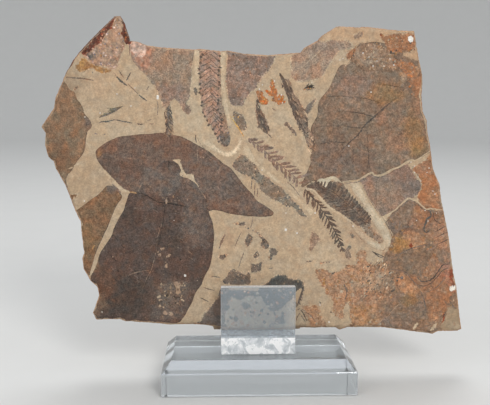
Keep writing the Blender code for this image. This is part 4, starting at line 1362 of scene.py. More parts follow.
def draw_specks(drawing, chance):
    """Dark dots and glints where they are seen, and finer specks all over."""
    for place in DOTS:
        drawing.shape(chip(place, chance.uniform(0.7, 1.2), chance), INK, FILM)
    for place in GLINTS:
        drawing.shape(chip(place, chance.uniform(0.55, 0.85), chance), WHITE, GLINT)
        drawing.add_places([place], 0.35)
    for outline in BRIGHT_CHIPS:
        drawing.shape(np.array(outline, float), WHITE, GLINT, 0.1)
    everywhere = np.array(SLAB_OUTLINE)
    for count, largest, tint, kind in ((240, 0.75, INK_SOFT, FILM), (150, 0.7, CREAM_BRIGHT, STONE)):
        for place in scatter(everywhere, count, chance):
            drawing.shape(chip(place, chance.uniform(0.3, largest), chance), tint, kind)


def draw_face(face_ring, chance):
    """The whole leaf side, from the bare stone up."""
    drawing = Drawing()
    drawing.shape(face_ring, TAN, STONE)
    draw_ground(drawing, chance)
    draw_leaves(drawing)
    draw_upper_right(drawing, chance)
    draw_tracks(drawing)
    draw_twigs(drawing, chance)
    draw_bits(drawing, chance)
    draw_lines(drawing)
    draw_corner(drawing, chance)
    draw_specks(drawing, chance)
    drawing.add_places(grid_places(face_ring, GRID_PITCH, chance), 0.0)
    return drawing


def grid_places(ring, pitch, chance):
    """Places about pitch apart all over a ring's inside, a little shaken, clear of the ring."""
    low, high = ring.min(0), ring.max(0)
    rows = np.arange(low[1], high[1], pitch * 0.87)
    places = []
    for number, row in enumerate(rows):
        shift = pitch / 2 if number % 2 else 0.0
        for column in np.arange(low[0] + shift, high[0], pitch):
            shake = pitch * 0.22
            places.append((column + chance.uniform(-shake, shake), row + chance.uniform(-shake, shake)))
    places = np.array(places)
    places = places[inside(places, ring)]
    return places[distance_to(places, ring, closed=True) > pitch * 0.45]


# ---------------------------------------------------------------- the slab's mesh
FACET_REGION = (
    (84.5, 54.5), (94.0, 65.5), (108.0, 70.5), (116.5, 67.5), (120.5, 58.5), (125.0, 46.0),
    (126.0, 36.0), (140.0, 10.0), (112.0, -10.0), (80.0, 20.0),
)
EDGE_FALL = 0.50 * MM
EDGE_FALL_REACH = 2.6
NORMAL_REACH = 6
SIDE_TONES = (
    TAN_WARM, STAIN_TAN, TAN_WARM, CREAM_DULL, BROWN_WARM, TAN, OCHRE_DEEP, STAIN_TAN, TAN_LEFT,
    BROWN_GREY, TAN_WARM, TAN, LEAF_TAN, TAN_LEFT,
)
# The broken sides turn rusty right of a column and below a row, and into dark rind left of a column and
# above a row.
RUSTY_SIDE_COLUMN = 400
RUSTY_SIDE_ROW = 40
RIND_SIDE_COLUMN = 134
RIND_SIDE_ROW = 78
SHAPE_SEED = 11
# The peak is too narrow for the sides' full insets: the share that they keep at its tip, and how far
# from there, in cells, they reach their full size.
PEAK = (117.0, 16.0)
PEAK_ROOM = 0.25
PEAK_REACH = 16.0

# Layers that have split off the back, as clockwise outlines in cells, and each one's depth. The last
# lies within the first. They run out within EDGE_RUN cells of the slab's edge.
BACK_LAYERS = (
    (((232, 66), (300, 68), (342, 52), (396, 54), (402, 120), (414, 180), (424, 240), (430, 308),
      (360, 310), (300, 312), (262, 310), (248, 280), (272, 240), (240, 200), (262, 150), (222, 110)),
     0.65 * MM),
    (((66, 122), (90, 96), (124, 98), (150, 128), (140, 170), (180, 208), (168, 250), (122, 266),
      (98, 250), (82, 196), (64, 160)), 0.55 * MM),
    (((330, 152), (368, 138), (394, 172), (406, 240), (412, 294), (344, 298), (318, 280), (340, 232),
      (308, 190)), 0.75 * MM),
)
LAYER_STEP = 2.4
LAYER_WALL = 0.8
EDGE_RUN = 16.0
DEEPEST_HOLLOW = 2.4 * MM
# The back's colours: shares of darkening for each mm that is missing, as painted shade in the hollows, and
# of painted shadow along a step's foot and lightening along its top.
HOLLOW_PAINTED_SHADE = 0.20
FOOT_PAINTED_SHADOW = -0.38
TOP_SHADE = 0.16
ON_EDGE = 0.05
# Patches on the back: (colour, patch size in cells, seed, threshold, share).
BACK_DRIFTS = (
    (BROWN_WARM, 60, 32, 0.0, 0.4), (STAIN_TAN, 34, 33, 0.1, 0.5), (RUST, 30, 34, 0.25, 0.4),
    (TAN_LIGHT, 10, 35, 0.15, 0.4), (BROWN_GREY, 7, 36, 0.2, 0.4),
)
DRIFT_BLEND = 0.35


def inward(ring):
    """Unit directions that lead into a clockwise ring on the sheet."""
    along = unit(np.roll(ring, -NORMAL_REACH, 0) - np.roll(ring, NORMAL_REACH, 0))
    return np.stack((-along[:, 1], along[:, 0]), axis=1)


def slab_rings():
    """The slab's widest ring, a little broken up, and the ring where its face ends."""
    plain = straight_curve(SLAB_OUTLINE, OUTLINE_STEP)
    bite = 0.45 * np.abs(wander(plain, 2.6, 3)) + 0.35 * np.abs(wander(plain, 9.0, 4))
    widest = plain + inward(plain) * bite[:, None]
    drawn_in = (FACE_INSET + FACE_INSET_WANDER * wander(plain, 7.0, 5)) * MM / CELL
    return widest, widest + inward(widest) * np.maximum(drawn_in, 0.15)[:, None]


def triangulate(given_places, rings):
    """Splits the inside of the first ring into triangles that follow all the rings. Returns places,
    triangles, and the given place behind each place, or -1."""
    corners = [Vector(place) for place in given_places]
    sides = [side for ring in rings for side in zip(ring, ring[1:] + ring[:1])]
    made = delaunay_2d_cdt(corners, sides, [], CDT_WHOLE, CDT_EPSILON, True)
    places = np.array([tuple(place) for place in made[0]])
    triangles = np.array(made[2])
    outer = np.array(given_places)[rings[0]]
    triangles = triangles[inside(places[triangles].mean(axis=1), outer)]
    used, flat = np.unique(triangles, return_inverse=True)
    first_place = np.array([made[3][old][0] if made[3][old] else -1 for old in used])
    return places[used], flat.reshape(triangles.shape), first_place


def memberships(drawing, places, triangles):
    """Pairs of a triangle and a shape that it lies in, as two arrays."""
    centres = places[triangles].mean(axis=1)
    everywhere = np.array(drawing.places)
    which_triangle, which_shape = [], []
    for number, ring in enumerate(drawing.rings):
        outline = everywhere[ring]
        near = np.flatnonzero(
            ((centres > outline.min(axis=0)) & (centres < outline.max(axis=0))).all(axis=1)
        )
        found = near[inside(centres[near], outline)]
        which_triangle.append(found)
        which_shape.append(np.full(len(found), number))
    return np.concatenate(which_triangle), np.concatenate(which_shape)


def boundary_loop(triangles):
    """The ring of corners round a sheet of triangles."""
    ahead = set()
    for one, two, three in triangles.tolist():
        ahead.update(((one, two), (two, three), (three, one)))
    after = {start: end for start, end in ahead if (end, start) not in ahead}
    start = next(iter(after))
    loop = [start]
    while after[loop[-1]] != start:
        loop.append(after[loop[-1]])
    if len(loop) != len(after):
        raise ValueError(f"the sheet's edge is not one ring: {len(loop)} of {len(after)}")
    return loop


def pairs_well_inside(drawing, triangles, members, count):
    """Sorted numbers place * shapes + shape for each place whose triangles all lie in that shape."""
    which_triangle, which_shape = members
    total = len(drawing.rings)
    keys = (triangles[which_triangle] * total + which_shape[:, None]).ravel()
    pairs, met = np.unique(keys, return_counts=True)
    around = np.bincount(triangles.ravel(), minlength=count)
    return pairs[met == around[pairs // total]]


def relief_of(drawing, pairs, first_place, count):
    """How far each place stands out, in mm: the sum for the shapes that it lies well inside."""
    total = len(drawing.rings)
    relief = np.zeros(count)
    np.add.at(relief, pairs // total, np.array(drawing.reliefs)[pairs % total])
    own = np.array(drawing.reliefs_at)[first_place]
    return relief + np.where(first_place >= 0, own, 0.0)


def hold_of(drawing, places, triangles, top, pairs):
    """How firmly each corner's top shape holds there: 0 on the shape's edge, 1 well inside it."""
    keys = triangles * len(drawing.rings) + top[:, None]
    spots = np.minimum(np.searchsorted(pairs, keys), len(pairs) - 1)
    hold = np.where((pairs[spots] == keys) | (top[:, None] == 0), 1.0, 0.0)
    everywhere = np.array(drawing.places)
    for number, fade in enumerate(drawing.fades):
        if fade:
            own = np.flatnonzero(top == number)
            corners, back = np.unique(triangles[own], return_inverse=True)
            away = distance_to(places[corners], everywhere[drawing.rings[number]], closed=True)
            hold[own] = np.clip(away / fade, 0, 1)[back].reshape(-1, 3)
    return hold


def face_depths(places, relief, rough):
    """Depth behind the face's plane. rough is 0 on fine stone and 1 on crust."""
    outline = np.array(SLAB_OUTLINE)
    swell = 0.30 * wander(places, 70, 6, 2) + 0.10 * wander(places, 14, 7, 3)
    grain = (0.035 + 0.10 * rough) * wander(places, 2.4, 8, 3)
    depth = (0.10 + swell + grain - relief) * MM
    from_edge = distance_to(places, outline, closed=True) - 1.0
    chipped = 0.6 + 0.6 * wander(places, 5, 9)
    depth += EDGE_FALL * chipped * (1 - smoothstep(from_edge / EDGE_FALL_REACH))
    region = np.array(FACET_REGION)
    within = np.where(inside(places, region), distance_to(places, region, closed=True), 0.0)
    lumps = 0.6 * np.abs(wander(places, 7, 10, 4)) + 0.5 * wander(places, 2.6, 12, 3)
    floor = FACET_DEPTH_AT_LOW_ROW + FACET_FALL_PER_ROW * (FACET_LOW_ROW - places[:, 1])
    return depth + (floor + FACET_ROUGHNESS * lumps) * smoothstep(within / 3.0)


def settle_foot(points, depth):
    """Keeps the underside on the ledge: flat where it bears, and nowhere lower."""
    over = np.abs(points[:, 0] - STAND_MIDDLE_X) < FOOT_HALF_WIDTH
    near = over & (np.abs(points[:, 2] - FOOT_Z) < FOOT_BAND)
    bears = near & (depth > BEARING_FROM) & (depth < BEARING_TO)
    points[:, 2] = np.where(bears, FOOT_Z, np.where(near, np.maximum(points[:, 2], FOOT_Z), points[:, 2]))
    return points


def held_in_box(points):
    """Keeps points inside the CAD slab's box, across and up."""
    low, high = SLAB_BOX
    points[:, 0] = np.clip(points[:, 0], low[0], high[0])
    points[:, 2] = np.clip(points[:, 2], low[2], high[2])
    return points


def widest_for_loop(loop, places, first_place, face_ring, widest):
    """For each place on the face's edge, its place on the slab's widest ring."""
    count = len(face_ring)
    known = [int(first) if 0 <= first < count else None for first in first_place[loop]]
    start = next(number for number, first in enumerate(known) if first is not None)
    loop = loop[start:] + loop[:start]
    known = known[start:] + known[:start]
    backward = (known[next(n for n in range(1, len(known)) if known[n] is not None)] - known[0]) % count
    step = 1 if backward == 1 else -1
    out = np.zeros((len(loop), 2))
    last = known[0]
    for number, (corner, first) in enumerate(zip(loop, known)):
        if first is not None:
            last = first
            out[number] = widest[first]
            continue
        following = (last + step) % count
        run = face_ring[following] - face_ring[last]
        share = float(np.linalg.norm(places[corner] - face_ring[last]) / max(np.linalg.norm(run), 1e-9))
        out[number] = widest[last] + (widest[following] - widest[last]) * min(share, 1.0)
    return loop, out


class Mesh:
    """Points, faces, and for each face its kind and its corners' colours."""

    def __init__(self):
        self.points = []
        self.faces = []
        self.kinds = []
        self.colours = []
        self.unders = []
        self.holds = []
        self.count = 0

    def add_points(self, points):
        start = self.count
        self.points.append(held_in_box(np.asarray(points)))
        self.count += len(points)
        return np.arange(start, self.count)

    def add_faces(self, corners, kinds, colours, unders=None, holds=None):
        """corners is (faces, 3 or 4); colours and unders are (faces, corners, 3)."""
        self.faces.extend(corners.tolist())
        self.kinds.append(np.broadcast_to(kinds, len(corners)))
        self.colours.append(colours.reshape(-1, 3))
        self.unders.append((colours if unders is None else unders).reshape(-1, 3))
        self.holds.append(np.ones(corners.size) if holds is None else holds.reshape(-1))

    def to_object(self, name, materials):
        mesh = bpy.data.meshes.new(name)
        mesh.from_pydata(np.vstack(self.points).tolist(), [], self.faces)
        for material in materials:
            mesh.materials.append(material)
        mesh.polygons.foreach_set("material_index", np.concatenate(self.kinds).astype(np.int32))
        hold = np.concatenate(self.holds)[:, None]
        for layer, colours in (("tint", self.colours), ("under", self.unders)):
            made = mesh.color_attributes.new(layer, "FLOAT_COLOR", "CORNER")
            with_hold = np.hstack((np.vstack(colours), hold)).astype(np.float32)
            made.data.foreach_set("color", with_hold.ravel())
        mesh.shade_smooth()
        mesh.update()
        made = bpy.data.objects.new(name, mesh)
        bpy.context.scene.collection.objects.link(made)
        return made


# A soft stain's edge: how it wanders, where it ends and how softly, as shares of its reach.
STAIN_WANDER = 0.45
STAIN_END = 1.15
STAIN_BLEND = 0.55


def stained(tints, kinds, places, triangles, washes):
    """Corner colours of triangles of these colours and kinds, with the soft stains on them."""
    colours = np.repeat(tints[:, None, :], 3, axis=1)
    for on_kinds, tint, mask in washes:
        share = mask[triangles] * np.isin(kinds, on_kinds)[:, None]
        colours += (np.array(tint) - colours) * share[:, :, None]
    return mottle(colours, places, triangles, kinds)


def face_colours(drawing, places, triangles, members, pairs):
    """Each triangle's kind, its corners' colours, the colours under them, and how they hold."""
    which_triangle, which_shape = members
    top = np.zeros(len(triangles), int)
    np.maximum.at(top, which_triangle, which_shape)
    lower = which_shape < top[which_triangle]
    under = np.zeros(len(triangles), int)
    np.maximum.at(under, which_triangle[lower], which_shape[lower])
    fields = [wander(places, pitch, 20 + pitch, 4) for pitch in (5, 9, 15)]
    washes = []
    for on_kinds, stains in WASHES:
        for centre, reach, tint, strength in stains:
            span = np.linalg.norm((places - centre) / reach, axis=1)
            span += STAIN_WANDER * fields[len(washes) % len(fields)]
            washes.append((on_kinds, tint, strength * smoothstep((STAIN_END - span) / STAIN_BLEND)))
    kinds, tints = np.array(drawing.kinds), np.array(drawing.tints)
    colours = stained(tints[top], kinds[top], places, triangles, washes)
    below = stained(tints[under], kinds[under], places, triangles, washes)
    hold = hold_of(drawing, places, triangles, top, pairs)
    return kinds[top], colours, below, hold


# What each kind of surface drifts towards in patches: (kinds, colour, patch size in cells, threshold,
# share).
DRIFTS = (
    (ON_CRUST, RUST, 5, 0.15, 0.22), (ON_CRUST, BROWN_GREY, 7, 0.08, 0.40),
    (ON_CRUST, OCHRE, 4, 0.32, 0.30), (ON_CRUST, CREAM_DULL, 3, 0.32, 0.35),
    (ON_CRUST, INK_SOFT, 3, 0.34, 0.35), (ON_STONE, TAN_WARM, 12, 0.05, 0.30),
    (ON_STONE, TAN_LIGHT, 7, 0.15, 0.35), ((FACET,), PINK_WHITE, 4, 0.05, 0.7),
    ((FACET,), RUST_PINK, 3, 0.15, 0.4), ((FACET,), SLATE, 3, 0.26, 0.6),
    ((FACET,), BROWN_GREY, 5, 0.10, 0.5), ((RIND,), RUST_RED, 3, 0.10, 0.5),
    ((RIND,), STAIN_TAN, 4, 0.34, 0.5),
)
# The same for leaf films, as what their own colour is multiplied by.
FILM_DRIFTS = (
    ((1.10, 0.98, 0.88), 9, 0.10, 0.9), ((0.90, 0.97, 1.02), 7, 0.10, 0.9),
    ((1.14, 1.12, 1.09), 3.6, 0.16, 0.9), ((0.87, 0.85, 0.85), 4.6, 0.18, 0.9),
)
BRIGHTNESS_WANDER = {STONE: 0.035, CREAM_KIND: 0.05, FILM: 0.07, CRUST: 0.10, FACET: 0.14, RIND: 0.25,
                     GLINT: 0.02}


def mottle(colours, places, triangles, kinds):
    """Patchy drifts of colour and brightness on each kind of surface."""
    for number, (on_kinds, tint, pitch, threshold, share) in enumerate(DRIFTS):
        field = wander(places, pitch, 50 + number, 4)
        mask = share * smoothstep((field - threshold) / DRIFT_BLEND)
        amount = mask[triangles] * np.isin(kinds, on_kinds)[:, None]
        colours += (np.array(tint) - colours) * amount[:, :, None]
    for number, (factor, pitch, threshold, share) in enumerate(FILM_DRIFTS):
        mask = share * smoothstep((wander(places, pitch, 70 + number, 4) - threshold) / DRIFT_BLEND)
        amount = mask[triangles] * np.isin(kinds, ON_FILM)[:, None]
        colours *= 1 + (np.array(factor) - 1) * amount[:, :, None]
    shaken = wander(places, 2.2, 80, 3) + 0.6 * wander(places, 8, 81, 3)
    reach = np.array([BRIGHTNESS_WANDER.get(kind, 0.05) for kind in range(len(KINDS))])
    return colours * (1 + 2.0 * shaken[triangles] * reach[kinds][:, None])[:, :, None]


def side_colours(places, number):
    """Colours of one ring of the broken sides, from its layer and from what lies near it."""
    layer = np.array(SIDE_TONES[number % len(SIDE_TONES)])
    colours = np.repeat(layer[None, :], len(places), axis=0)
    drift = wander(places, 16, 90 + number % 5, 3)
    colours += (np.array(RUST_PINK) - colours) * (0.5 * smoothstep((drift - 0.05) / 0.4))[:, None]
    column, row = places[:, 0], places[:, 1]
    rusty = smoothstep((column - RUSTY_SIDE_COLUMN) / 40) * smoothstep((row - RUSTY_SIDE_ROW) / 60)
    colours += (np.array(RUST) - colours) * (0.45 * rusty * (0.6 + drift))[:, None].clip(0, 1)
    corner = smoothstep((RIND_SIDE_ROW - row) / 12) * smoothstep((RIND_SIDE_COLUMN - column) / 4)
    colours += (np.array(RIND_RED) - colours) * (0.85 * corner)[:, None]
    return colours * (1 + 0.25 * wander(places, 3, 97, 3))[:, None]


def build_slab(chance):
    """The whole slab as one closed mesh: its leaf side, then its sides ring by ring, then its back."""
    widest, face_ring = slab_rings()
    drawing = draw_face(face_ring, chance)
    places, triangles, first_place = triangulate(drawing.places, drawing.rings)
    members = memberships(drawing, places, triangles)
    pairs = pairs_well_inside(drawing, triangles, members, len(places))
    kinds, colours, unders, holds = face_colours(drawing, places, triangles, members, pairs)
    relief = relief_of(drawing, pairs, first_place, len(places))
    rough = np.zeros(len(places))
    np.maximum.at(rough, triangles.ravel(), np.repeat(np.isin(kinds, (CRUST, FACET)), 3))
    depths = face_depths(places, relief, rough)
    slab = Mesh()
    face_points = settle_foot(sheet_to_world(places, depths), depths)
    slab.add_points(face_points)
    slab.add_faces(triangles[:, ::-1], kinds, colours[:, ::-1], unders[:, ::-1], holds[:, ::-1])

    loop, wide = widest_for_loop(boundary_loop(triangles), places, first_place, face_ring, widest)
    near_ring = np.array(loop)
    near_colours = np.repeat(np.array(CREAM_DULL)[None, :], len(loop), axis=0)
    near_colours *= (1 + 0.2 * wander(wide, 4, 98, 3))[:, None]
    settled = smooth_directions(unit(places[loop] - wide))
    room = PEAK_ROOM + (1 - PEAK_ROOM) * smoothstep(np.linalg.norm(wide - PEAK, axis=1) / PEAK_REACH)
    for number, (depth, inset, spread) in enumerate(SIDE_LAMINAE):
        front = depths[loop]
        far_depths = front + (SLAB_THICKNESS - front) * (depth * MM / SLAB_THICKNESS)
        lamina = number // 2
        drawn = inset + spread * np.abs(wander(wide, 11, 60 + lamina, 3)) + 0.12 * np.abs(
            wander(wide, 2.5, 70 + number, 2))
        ring_places = wide + settled * (drawn * room * MM / CELL)[:, None]
        points = settle_foot(sheet_to_world(ring_places, far_depths), far_depths)
        far_ring = slab.add_points(points)
        far_colours = side_colours(wide, number)
        quads = np.stack((near_ring, np.roll(near_ring, -1), np.roll(far_ring, -1), far_ring), axis=1)
        tints = np.stack((near_colours, np.roll(near_colours, -1, 0), np.roll(far_colours, -1, 0),
                          far_colours), axis=1)
        slab.add_faces(quads, SIDE, tints)
        near_ring, near_colours = far_ring, far_colours
    add_back(slab, near_ring, ring_places, chance)
    return slab


def smooth_directions(directions):
    """Directions round a ring, each averaged with its neighbours."""
    total = sum(np.roll(directions, shift, 0) for shift in range(-3, 4))
    return unit(total)


def layer_rings():
    """The top and foot of the step round each split layer on the back."""
    rings = []
    for outline, _ in BACK_LAYERS:
        top = ragged(ragged(straight_curve(outline, LAYER_STEP), 5.0, 17), 1.2, 4)
        rings.append((top, top + LAYER_WALL * inward(top)))
    return rings


def add_back(slab, ring, ring_places, chance):
    """The rough plain back: a sheet of triangles inside the last ring, with steps of split layers."""
    steps = layer_rings()
    given = [ring_places, grid_places(ring_places, BACK_PITCH, chance)]
    loops = [list(range(len(ring_places)))]
    for edge in [edge for pair in steps for edge in pair]:
        start = sum(len(part) for part in given)
        loops.append(list(range(start, start + len(edge))))
        given.append(edge)
    places, triangles, first_place = triangulate(np.vstack(given), loops)
    on_ring = (first_place >= 0) & (first_place < len(ring))
    index = np.full(len(places), -1)
    index[on_ring] = ring[first_place[on_ring]]
    fresh = np.flatnonzero(index < 0)
    missing = sum(
        depth * inside(places, (top + foot) / 2) for (top, foot), (_, depth) in zip(steps, BACK_LAYERS)
    )
    hollow = (0.35 + 0.25 * wander(places, 40, 30, 3) + 0.14 * wander(places, 7, 31, 4)) * MM + missing
    run = smoothstep(distance_to(places, ring_places, closed=True) / EDGE_RUN)
    depths = SLAB_THICKNESS - np.clip(hollow * run, 0.0, DEEPEST_HOLLOW)[fresh]
    index[fresh] = slab.add_points(sheet_to_world(places[fresh], depths))
    colours = np.repeat(np.array(TAN_LEFT)[None, :], len(places), axis=0)
    for tint, pitch, seed, threshold, share in BACK_DRIFTS:
        mask = share * smoothstep((wander(places, pitch, seed, 4) - threshold) / DRIFT_BLEND)
        colours += (np.array(tint) - colours) * mask[:, None]
    # Painted shade: darker where split layers are missing, then a painted shadow along each step's foot and
    # a lighter line along its top.
    colours *= (1 - HOLLOW_PAINTED_SHADE * run * missing / MM)[:, None]
    for top, foot in steps:
        for edge, share in ((foot, FOOT_PAINTED_SHADOW), (top, TOP_SHADE)):
            near = distance_to(places, edge, closed=True) < ON_EDGE
            colours[near] *= (1 + share * run[near])[:, None]
    slab.add_faces(index[triangles], BACK, colours[triangles])


# ---------------------------------------------------------------- materials
class Surface:
    """A new material, with short ways to add nodes to it. Sizes are in metres on the object."""

    def __init__(self, name, roughness):
        self.material = bpy.data.materials.new(name)
        self.material.use_nodes = True
        self.nodes = self.material.node_tree.nodes
        self.links = self.material.node_tree.links
        self.shader = self.nodes["Principled BSDF"]
        self.shader.inputs["Roughness"].default_value = roughness
        coordinates = self.nodes.new("ShaderNodeTexCoord")
        coordinates.name = "Texture Coordinate"
        self.place = coordinates.outputs["Object"]

    def noise(self, size, detail=4.0, harshness=0.55, warp=0.0):
        made = self.nodes.new("ShaderNodeTexNoise")
        made.inputs["Scale"].default_value = 1.0 / size
        made.inputs["Detail"].default_value = detail
        made.inputs["Roughness"].default_value = harshness
        made.inputs["Distortion"].default_value = warp
        self.links.new(self.place, made.inputs["Vector"])
        return made.outputs["Fac"]

    def cells(self, size, feature="DISTANCE_TO_EDGE"):
        made = self.nodes.new("ShaderNodeTexVoronoi")
        made.feature = feature
        made.inputs["Scale"].default_value = 1.0 / size
        self.links.new(self.place, made.inputs["Vector"])
        return made.outputs["Distance"]

    def spread(self, value, low, high, to_low=0.0, to_high=1.0):
        """Maps low..high of a value to to_low..to_high, and stays within them."""
        made = self.nodes.new("ShaderNodeMapRange")
        for name, number in (("From Min", low), ("From Max", high), ("To Min", to_low), ("To Max", to_high)):
            made.inputs[name].default_value = number
        self.links.new(value, made.inputs["Value"])
        return made.outputs["Result"]

    def combine(self, kind, first, second):
        made = self.nodes.new("ShaderNodeMath")
        made.operation = kind
        for socket, value in zip(made.inputs, (first, second)):
            if isinstance(value, (int, float)):
                socket.default_value = value
            else:
                self.links.new(value, socket)
        return made.outputs[0]

    def mix(self, first, second, share, blend="MIX"):
        """Mixes two colours, each a socket or a tuple, by a share that is a socket or a number."""
        made = self.nodes.new("ShaderNodeMix")
        made.data_type = "RGBA"
        made.blend_type = blend
        for name, value in ((0, share), (6, first), (7, second)):
            socket = made.inputs[name]
            if isinstance(value, tuple):
                socket.default_value = (*value, 1.0)
            elif isinstance(value, (int, float)):
                socket.default_value = value
            else:
                self.links.new(value, socket)
        return made.outputs[2]

    def painted(self, fray_size):
        """The mesh's own colour. Where a mark's edge frays, the colour under it shows through."""
        tint = self.nodes.new("ShaderNodeVertexColor")
        tint.layer_name = "tint"
        under = self.nodes.new("ShaderNodeVertexColor")
        under.layer_name = "under"
        fray = self.spread(self.noise(fray_size, 5.0, 0.65, 0.6), 0.32, 0.68, 0.12, 0.80)
        share = self.spread(self.combine("SUBTRACT", tint.outputs["Alpha"], fray), -0.16, 0.16)
        return self.mix(under.outputs["Color"], tint.outputs["Color"], share)

    def connect(self, output, name):
        self.links.new(output, self.shader.inputs[name])

    def bump(self, height, distance, strength=1.0):
        made = self.nodes.new("ShaderNodeBump")
        made.inputs["Distance"].default_value = distance
        made.inputs["Strength"].default_value = strength
        self.links.new(height, made.inputs["Height"])
        self.connect(made.outputs["Normal"], "Normal")


# How each kind of stone varies more finely than the mesh can: mottle and grain are shares of
# brightness, warm and cool are what patches lean to, specks is the share of pale and dark grains, and
# fray is the size of the crumbs at marks' edges.
Grain = namedtuple(
    "Grain", "mottle mottle_size grain grain_size warm cool specks fray roughness gloss relief"
)
GRAINS = {
    STONE: Grain(0.13, 3.0 * MM, 0.14, 0.9 * MM, (1.035, 1.0, 0.96), (0.98, 1.0, 1.02), 0.7,
                 0.7 * MM, 0.88, 0.25, 0.06),
    FILM: Grain(0.24, 2.8 * MM, 0.36, 0.8 * MM, (1.09, 0.98, 0.93), (0.93, 1.005, 1.05), 0.7,
                0.6 * MM, 0.70, 0.22, 0.07),
    CREAM_KIND: Grain(0.12, 2.2 * MM, 0.15, 0.85 * MM, (1.03, 1.0, 0.97), (0.98, 1.0, 1.02), 0.4,
                      0.7 * MM, 0.92, 0.25, 0.10),
    CRUST: Grain(0.24, 2.2 * MM, 0.32, 0.85 * MM, (1.08, 0.98, 0.91), (0.94, 1.0, 1.04), 0.7,
                 1.1 * MM, 0.82, 0.25, 0.14),
    FACET: Grain(0.20, 1.8 * MM, 0.20, 0.9 * MM, (1.06, 0.97, 0.95), (0.95, 1.0, 1.06), 0.8,
                 1.2 * MM, 0.66, 0.35, 0.30),
    RIND: Grain(0.35, 1.4 * MM, 0.22, 0.6 * MM, (1.15, 0.95, 0.84), (0.90, 0.98, 1.0), 0.4,
                1.0 * MM, 0.55, 0.35, 0.25),
    SIDE: Grain(0.16, 2.0 * MM, 0.14, 0.7 * MM, (1.07, 0.98, 0.91), (0.95, 1.0, 1.03), 0.5,
                0.8 * MM, 0.90, 0.25, 0.22),
    BACK: Grain(0.12, 3.0 * MM, 0.12, 0.8 * MM, (1.05, 0.99, 0.94), (0.96, 1.0, 1.02), 0.6,
                0.8 * MM, 0.90, 0.25, 0.16),
}


def stone_surface(kind):
    grain = GRAINS[kind]
    surface = Surface("fossil_" + KINDS[kind], grain.roughness)
    patches = surface.noise(grain.mottle_size, 6.0, 0.68, 0.3)
    grains = surface.noise(grain.grain_size, 4.0, 0.7)
    lean = surface.noise(grain.mottle_size * 2.3, 5.0, 0.65)
    bright = surface.combine(
        "MULTIPLY",
        surface.spread(patches, 0.34, 0.66, 1 - grain.mottle, 1 + grain.mottle),
        surface.spread(grains, 0.37, 0.63, 1 - grain.grain, 1 + grain.grain),
    )
    leaning = surface.mix(grain.cool, grain.warm, surface.spread(lean, 0.42, 0.58))
    colour = surface.mix(surface.painted(grain.fray), leaning, 1.0, "MULTIPLY")
    colour = surface.mix(colour, bright, 1.0, "MULTIPLY")
    fine = surface.noise(0.62 * MM, 2.0, 0.5)
    pale = surface.spread(fine, 0.70, 0.76, 0.0, 0.6 * grain.specks)
    colour = surface.mix(colour, CREAM_BRIGHT, pale)
    dark = surface.spread(surface.noise(0.70 * MM, 2.0, 0.5, 0.4), 0.31, 0.26, 0.0, 0.6 * grain.specks)
    colour = surface.mix(colour, INK, dark)
    surface.connect(colour, "Base Color")
    rough = surface.spread(patches, 0.3, 0.7, grain.roughness - 0.10, min(grain.roughness + 0.10, 1.0))
    surface.connect(rough, "Roughness")
    height = surface.combine(
        "ADD", surface.combine("MULTIPLY", patches, 0.6), surface.combine("MULTIPLY", grains, 0.4)
    )
    surface.bump(height, grain.relief * 2.2 * MM)
    surface.shader.inputs["Specular IOR Level"].default_value = grain.gloss
    return surface


def film_surface():
    """Leaf film: its mottling, fine pale wrinkles, and a net of hairline cracks."""
    surface = stone_surface(FILM)
    wrinkles = surface.noise(2.6 * MM, 6.0, 0.62, 1.4)
    crest = surface.combine("ABSOLUTE", surface.combine("SUBTRACT", wrinkles, 0.5), 0.0)
    pale = surface.spread(crest, 0.0, 0.024, 1.26, 1.0)
    cracks = surface.spread(surface.cells(1.7 * MM), 0.0, 0.05, 0.78, 1.0)
    base = surface.shader.inputs["Base Color"].links[0].from_socket
    shift = surface.combine("MULTIPLY", pale, cracks)
    surface.connect(surface.mix(base, shift, 1.0, "MULTIPLY"), "Base Color")
    return surface


def crust_surface():
    """Iron-stained crust: fine worm-like dark and pale runs over its mottling."""
    surface = stone_surface(CRUST)
    runs = surface.noise(2.2 * MM, 5.0, 0.60, 2.2)
    crest = surface.combine("ABSOLUTE", surface.combine("SUBTRACT", runs, 0.5), 0.0)
    dark = surface.spread(crest, 0.0, 0.018, 0.72, 1.0)
    pale = surface.spread(surface.noise(1.5 * MM, 6.0, 0.7, 1.0), 0.60, 0.68, 0.0, 0.45)
    base = surface.shader.inputs["Base Color"].links[0].from_socket
    colour = surface.mix(base, STAIN_TAN, pale)
    surface.connect(surface.mix(colour, dark, 1.0, "MULTIPLY"), "Base Color")
    return surface


def glint_surface():
    """Shiny grains, as bright chips with a coat; their white is partly a painted highlight."""
    surface = Surface("fossil_glint", 0.12)
    clouds = surface.noise(0.5 * MM, 2.0)
    colour = surface.mix(WHITE, (0.55, 0.60, 0.70), surface.spread(clouds, 0.45, 0.75))
    surface.connect(colour, "Base Color")
    surface.shader.inputs["Specular IOR Level"].default_value = 1.0
    surface.shader.inputs["Coat Weight"].default_value = 1.0
    surface.shader.inputs["Coat Roughness"].default_value = 0.05
    return surface


def acrylic_surface(name, clearness, tint):
    """Clear acrylic, a little milky, with soft smears and faint waves in its polish."""
    surface = Surface(name, 0.02)
    shader = surface.shader
    shader.inputs["Base Color"].default_value = (*tint, 1.0)
    shader.inputs["Transmission Weight"].default_value = clearness
    shader.inputs["IOR"].default_value = 1.49
    smears = surface.noise(9 * MM, 5.0, 0.6, 1.2)
    surface.connect(surface.spread(smears, 0.45, 0.75, 0.004, 0.035), "Roughness")
    waves = surface.noise(14 * MM, 1.0, 0.4)
    surface.bump(waves, 0.10 * MM, 0.5)
    return surface


# The cemented block's top: below it the uprights' inner faces are white and hazy, partly with cement and
# partly with painted glare.
LEDGE_TOP = 27.4 * MM


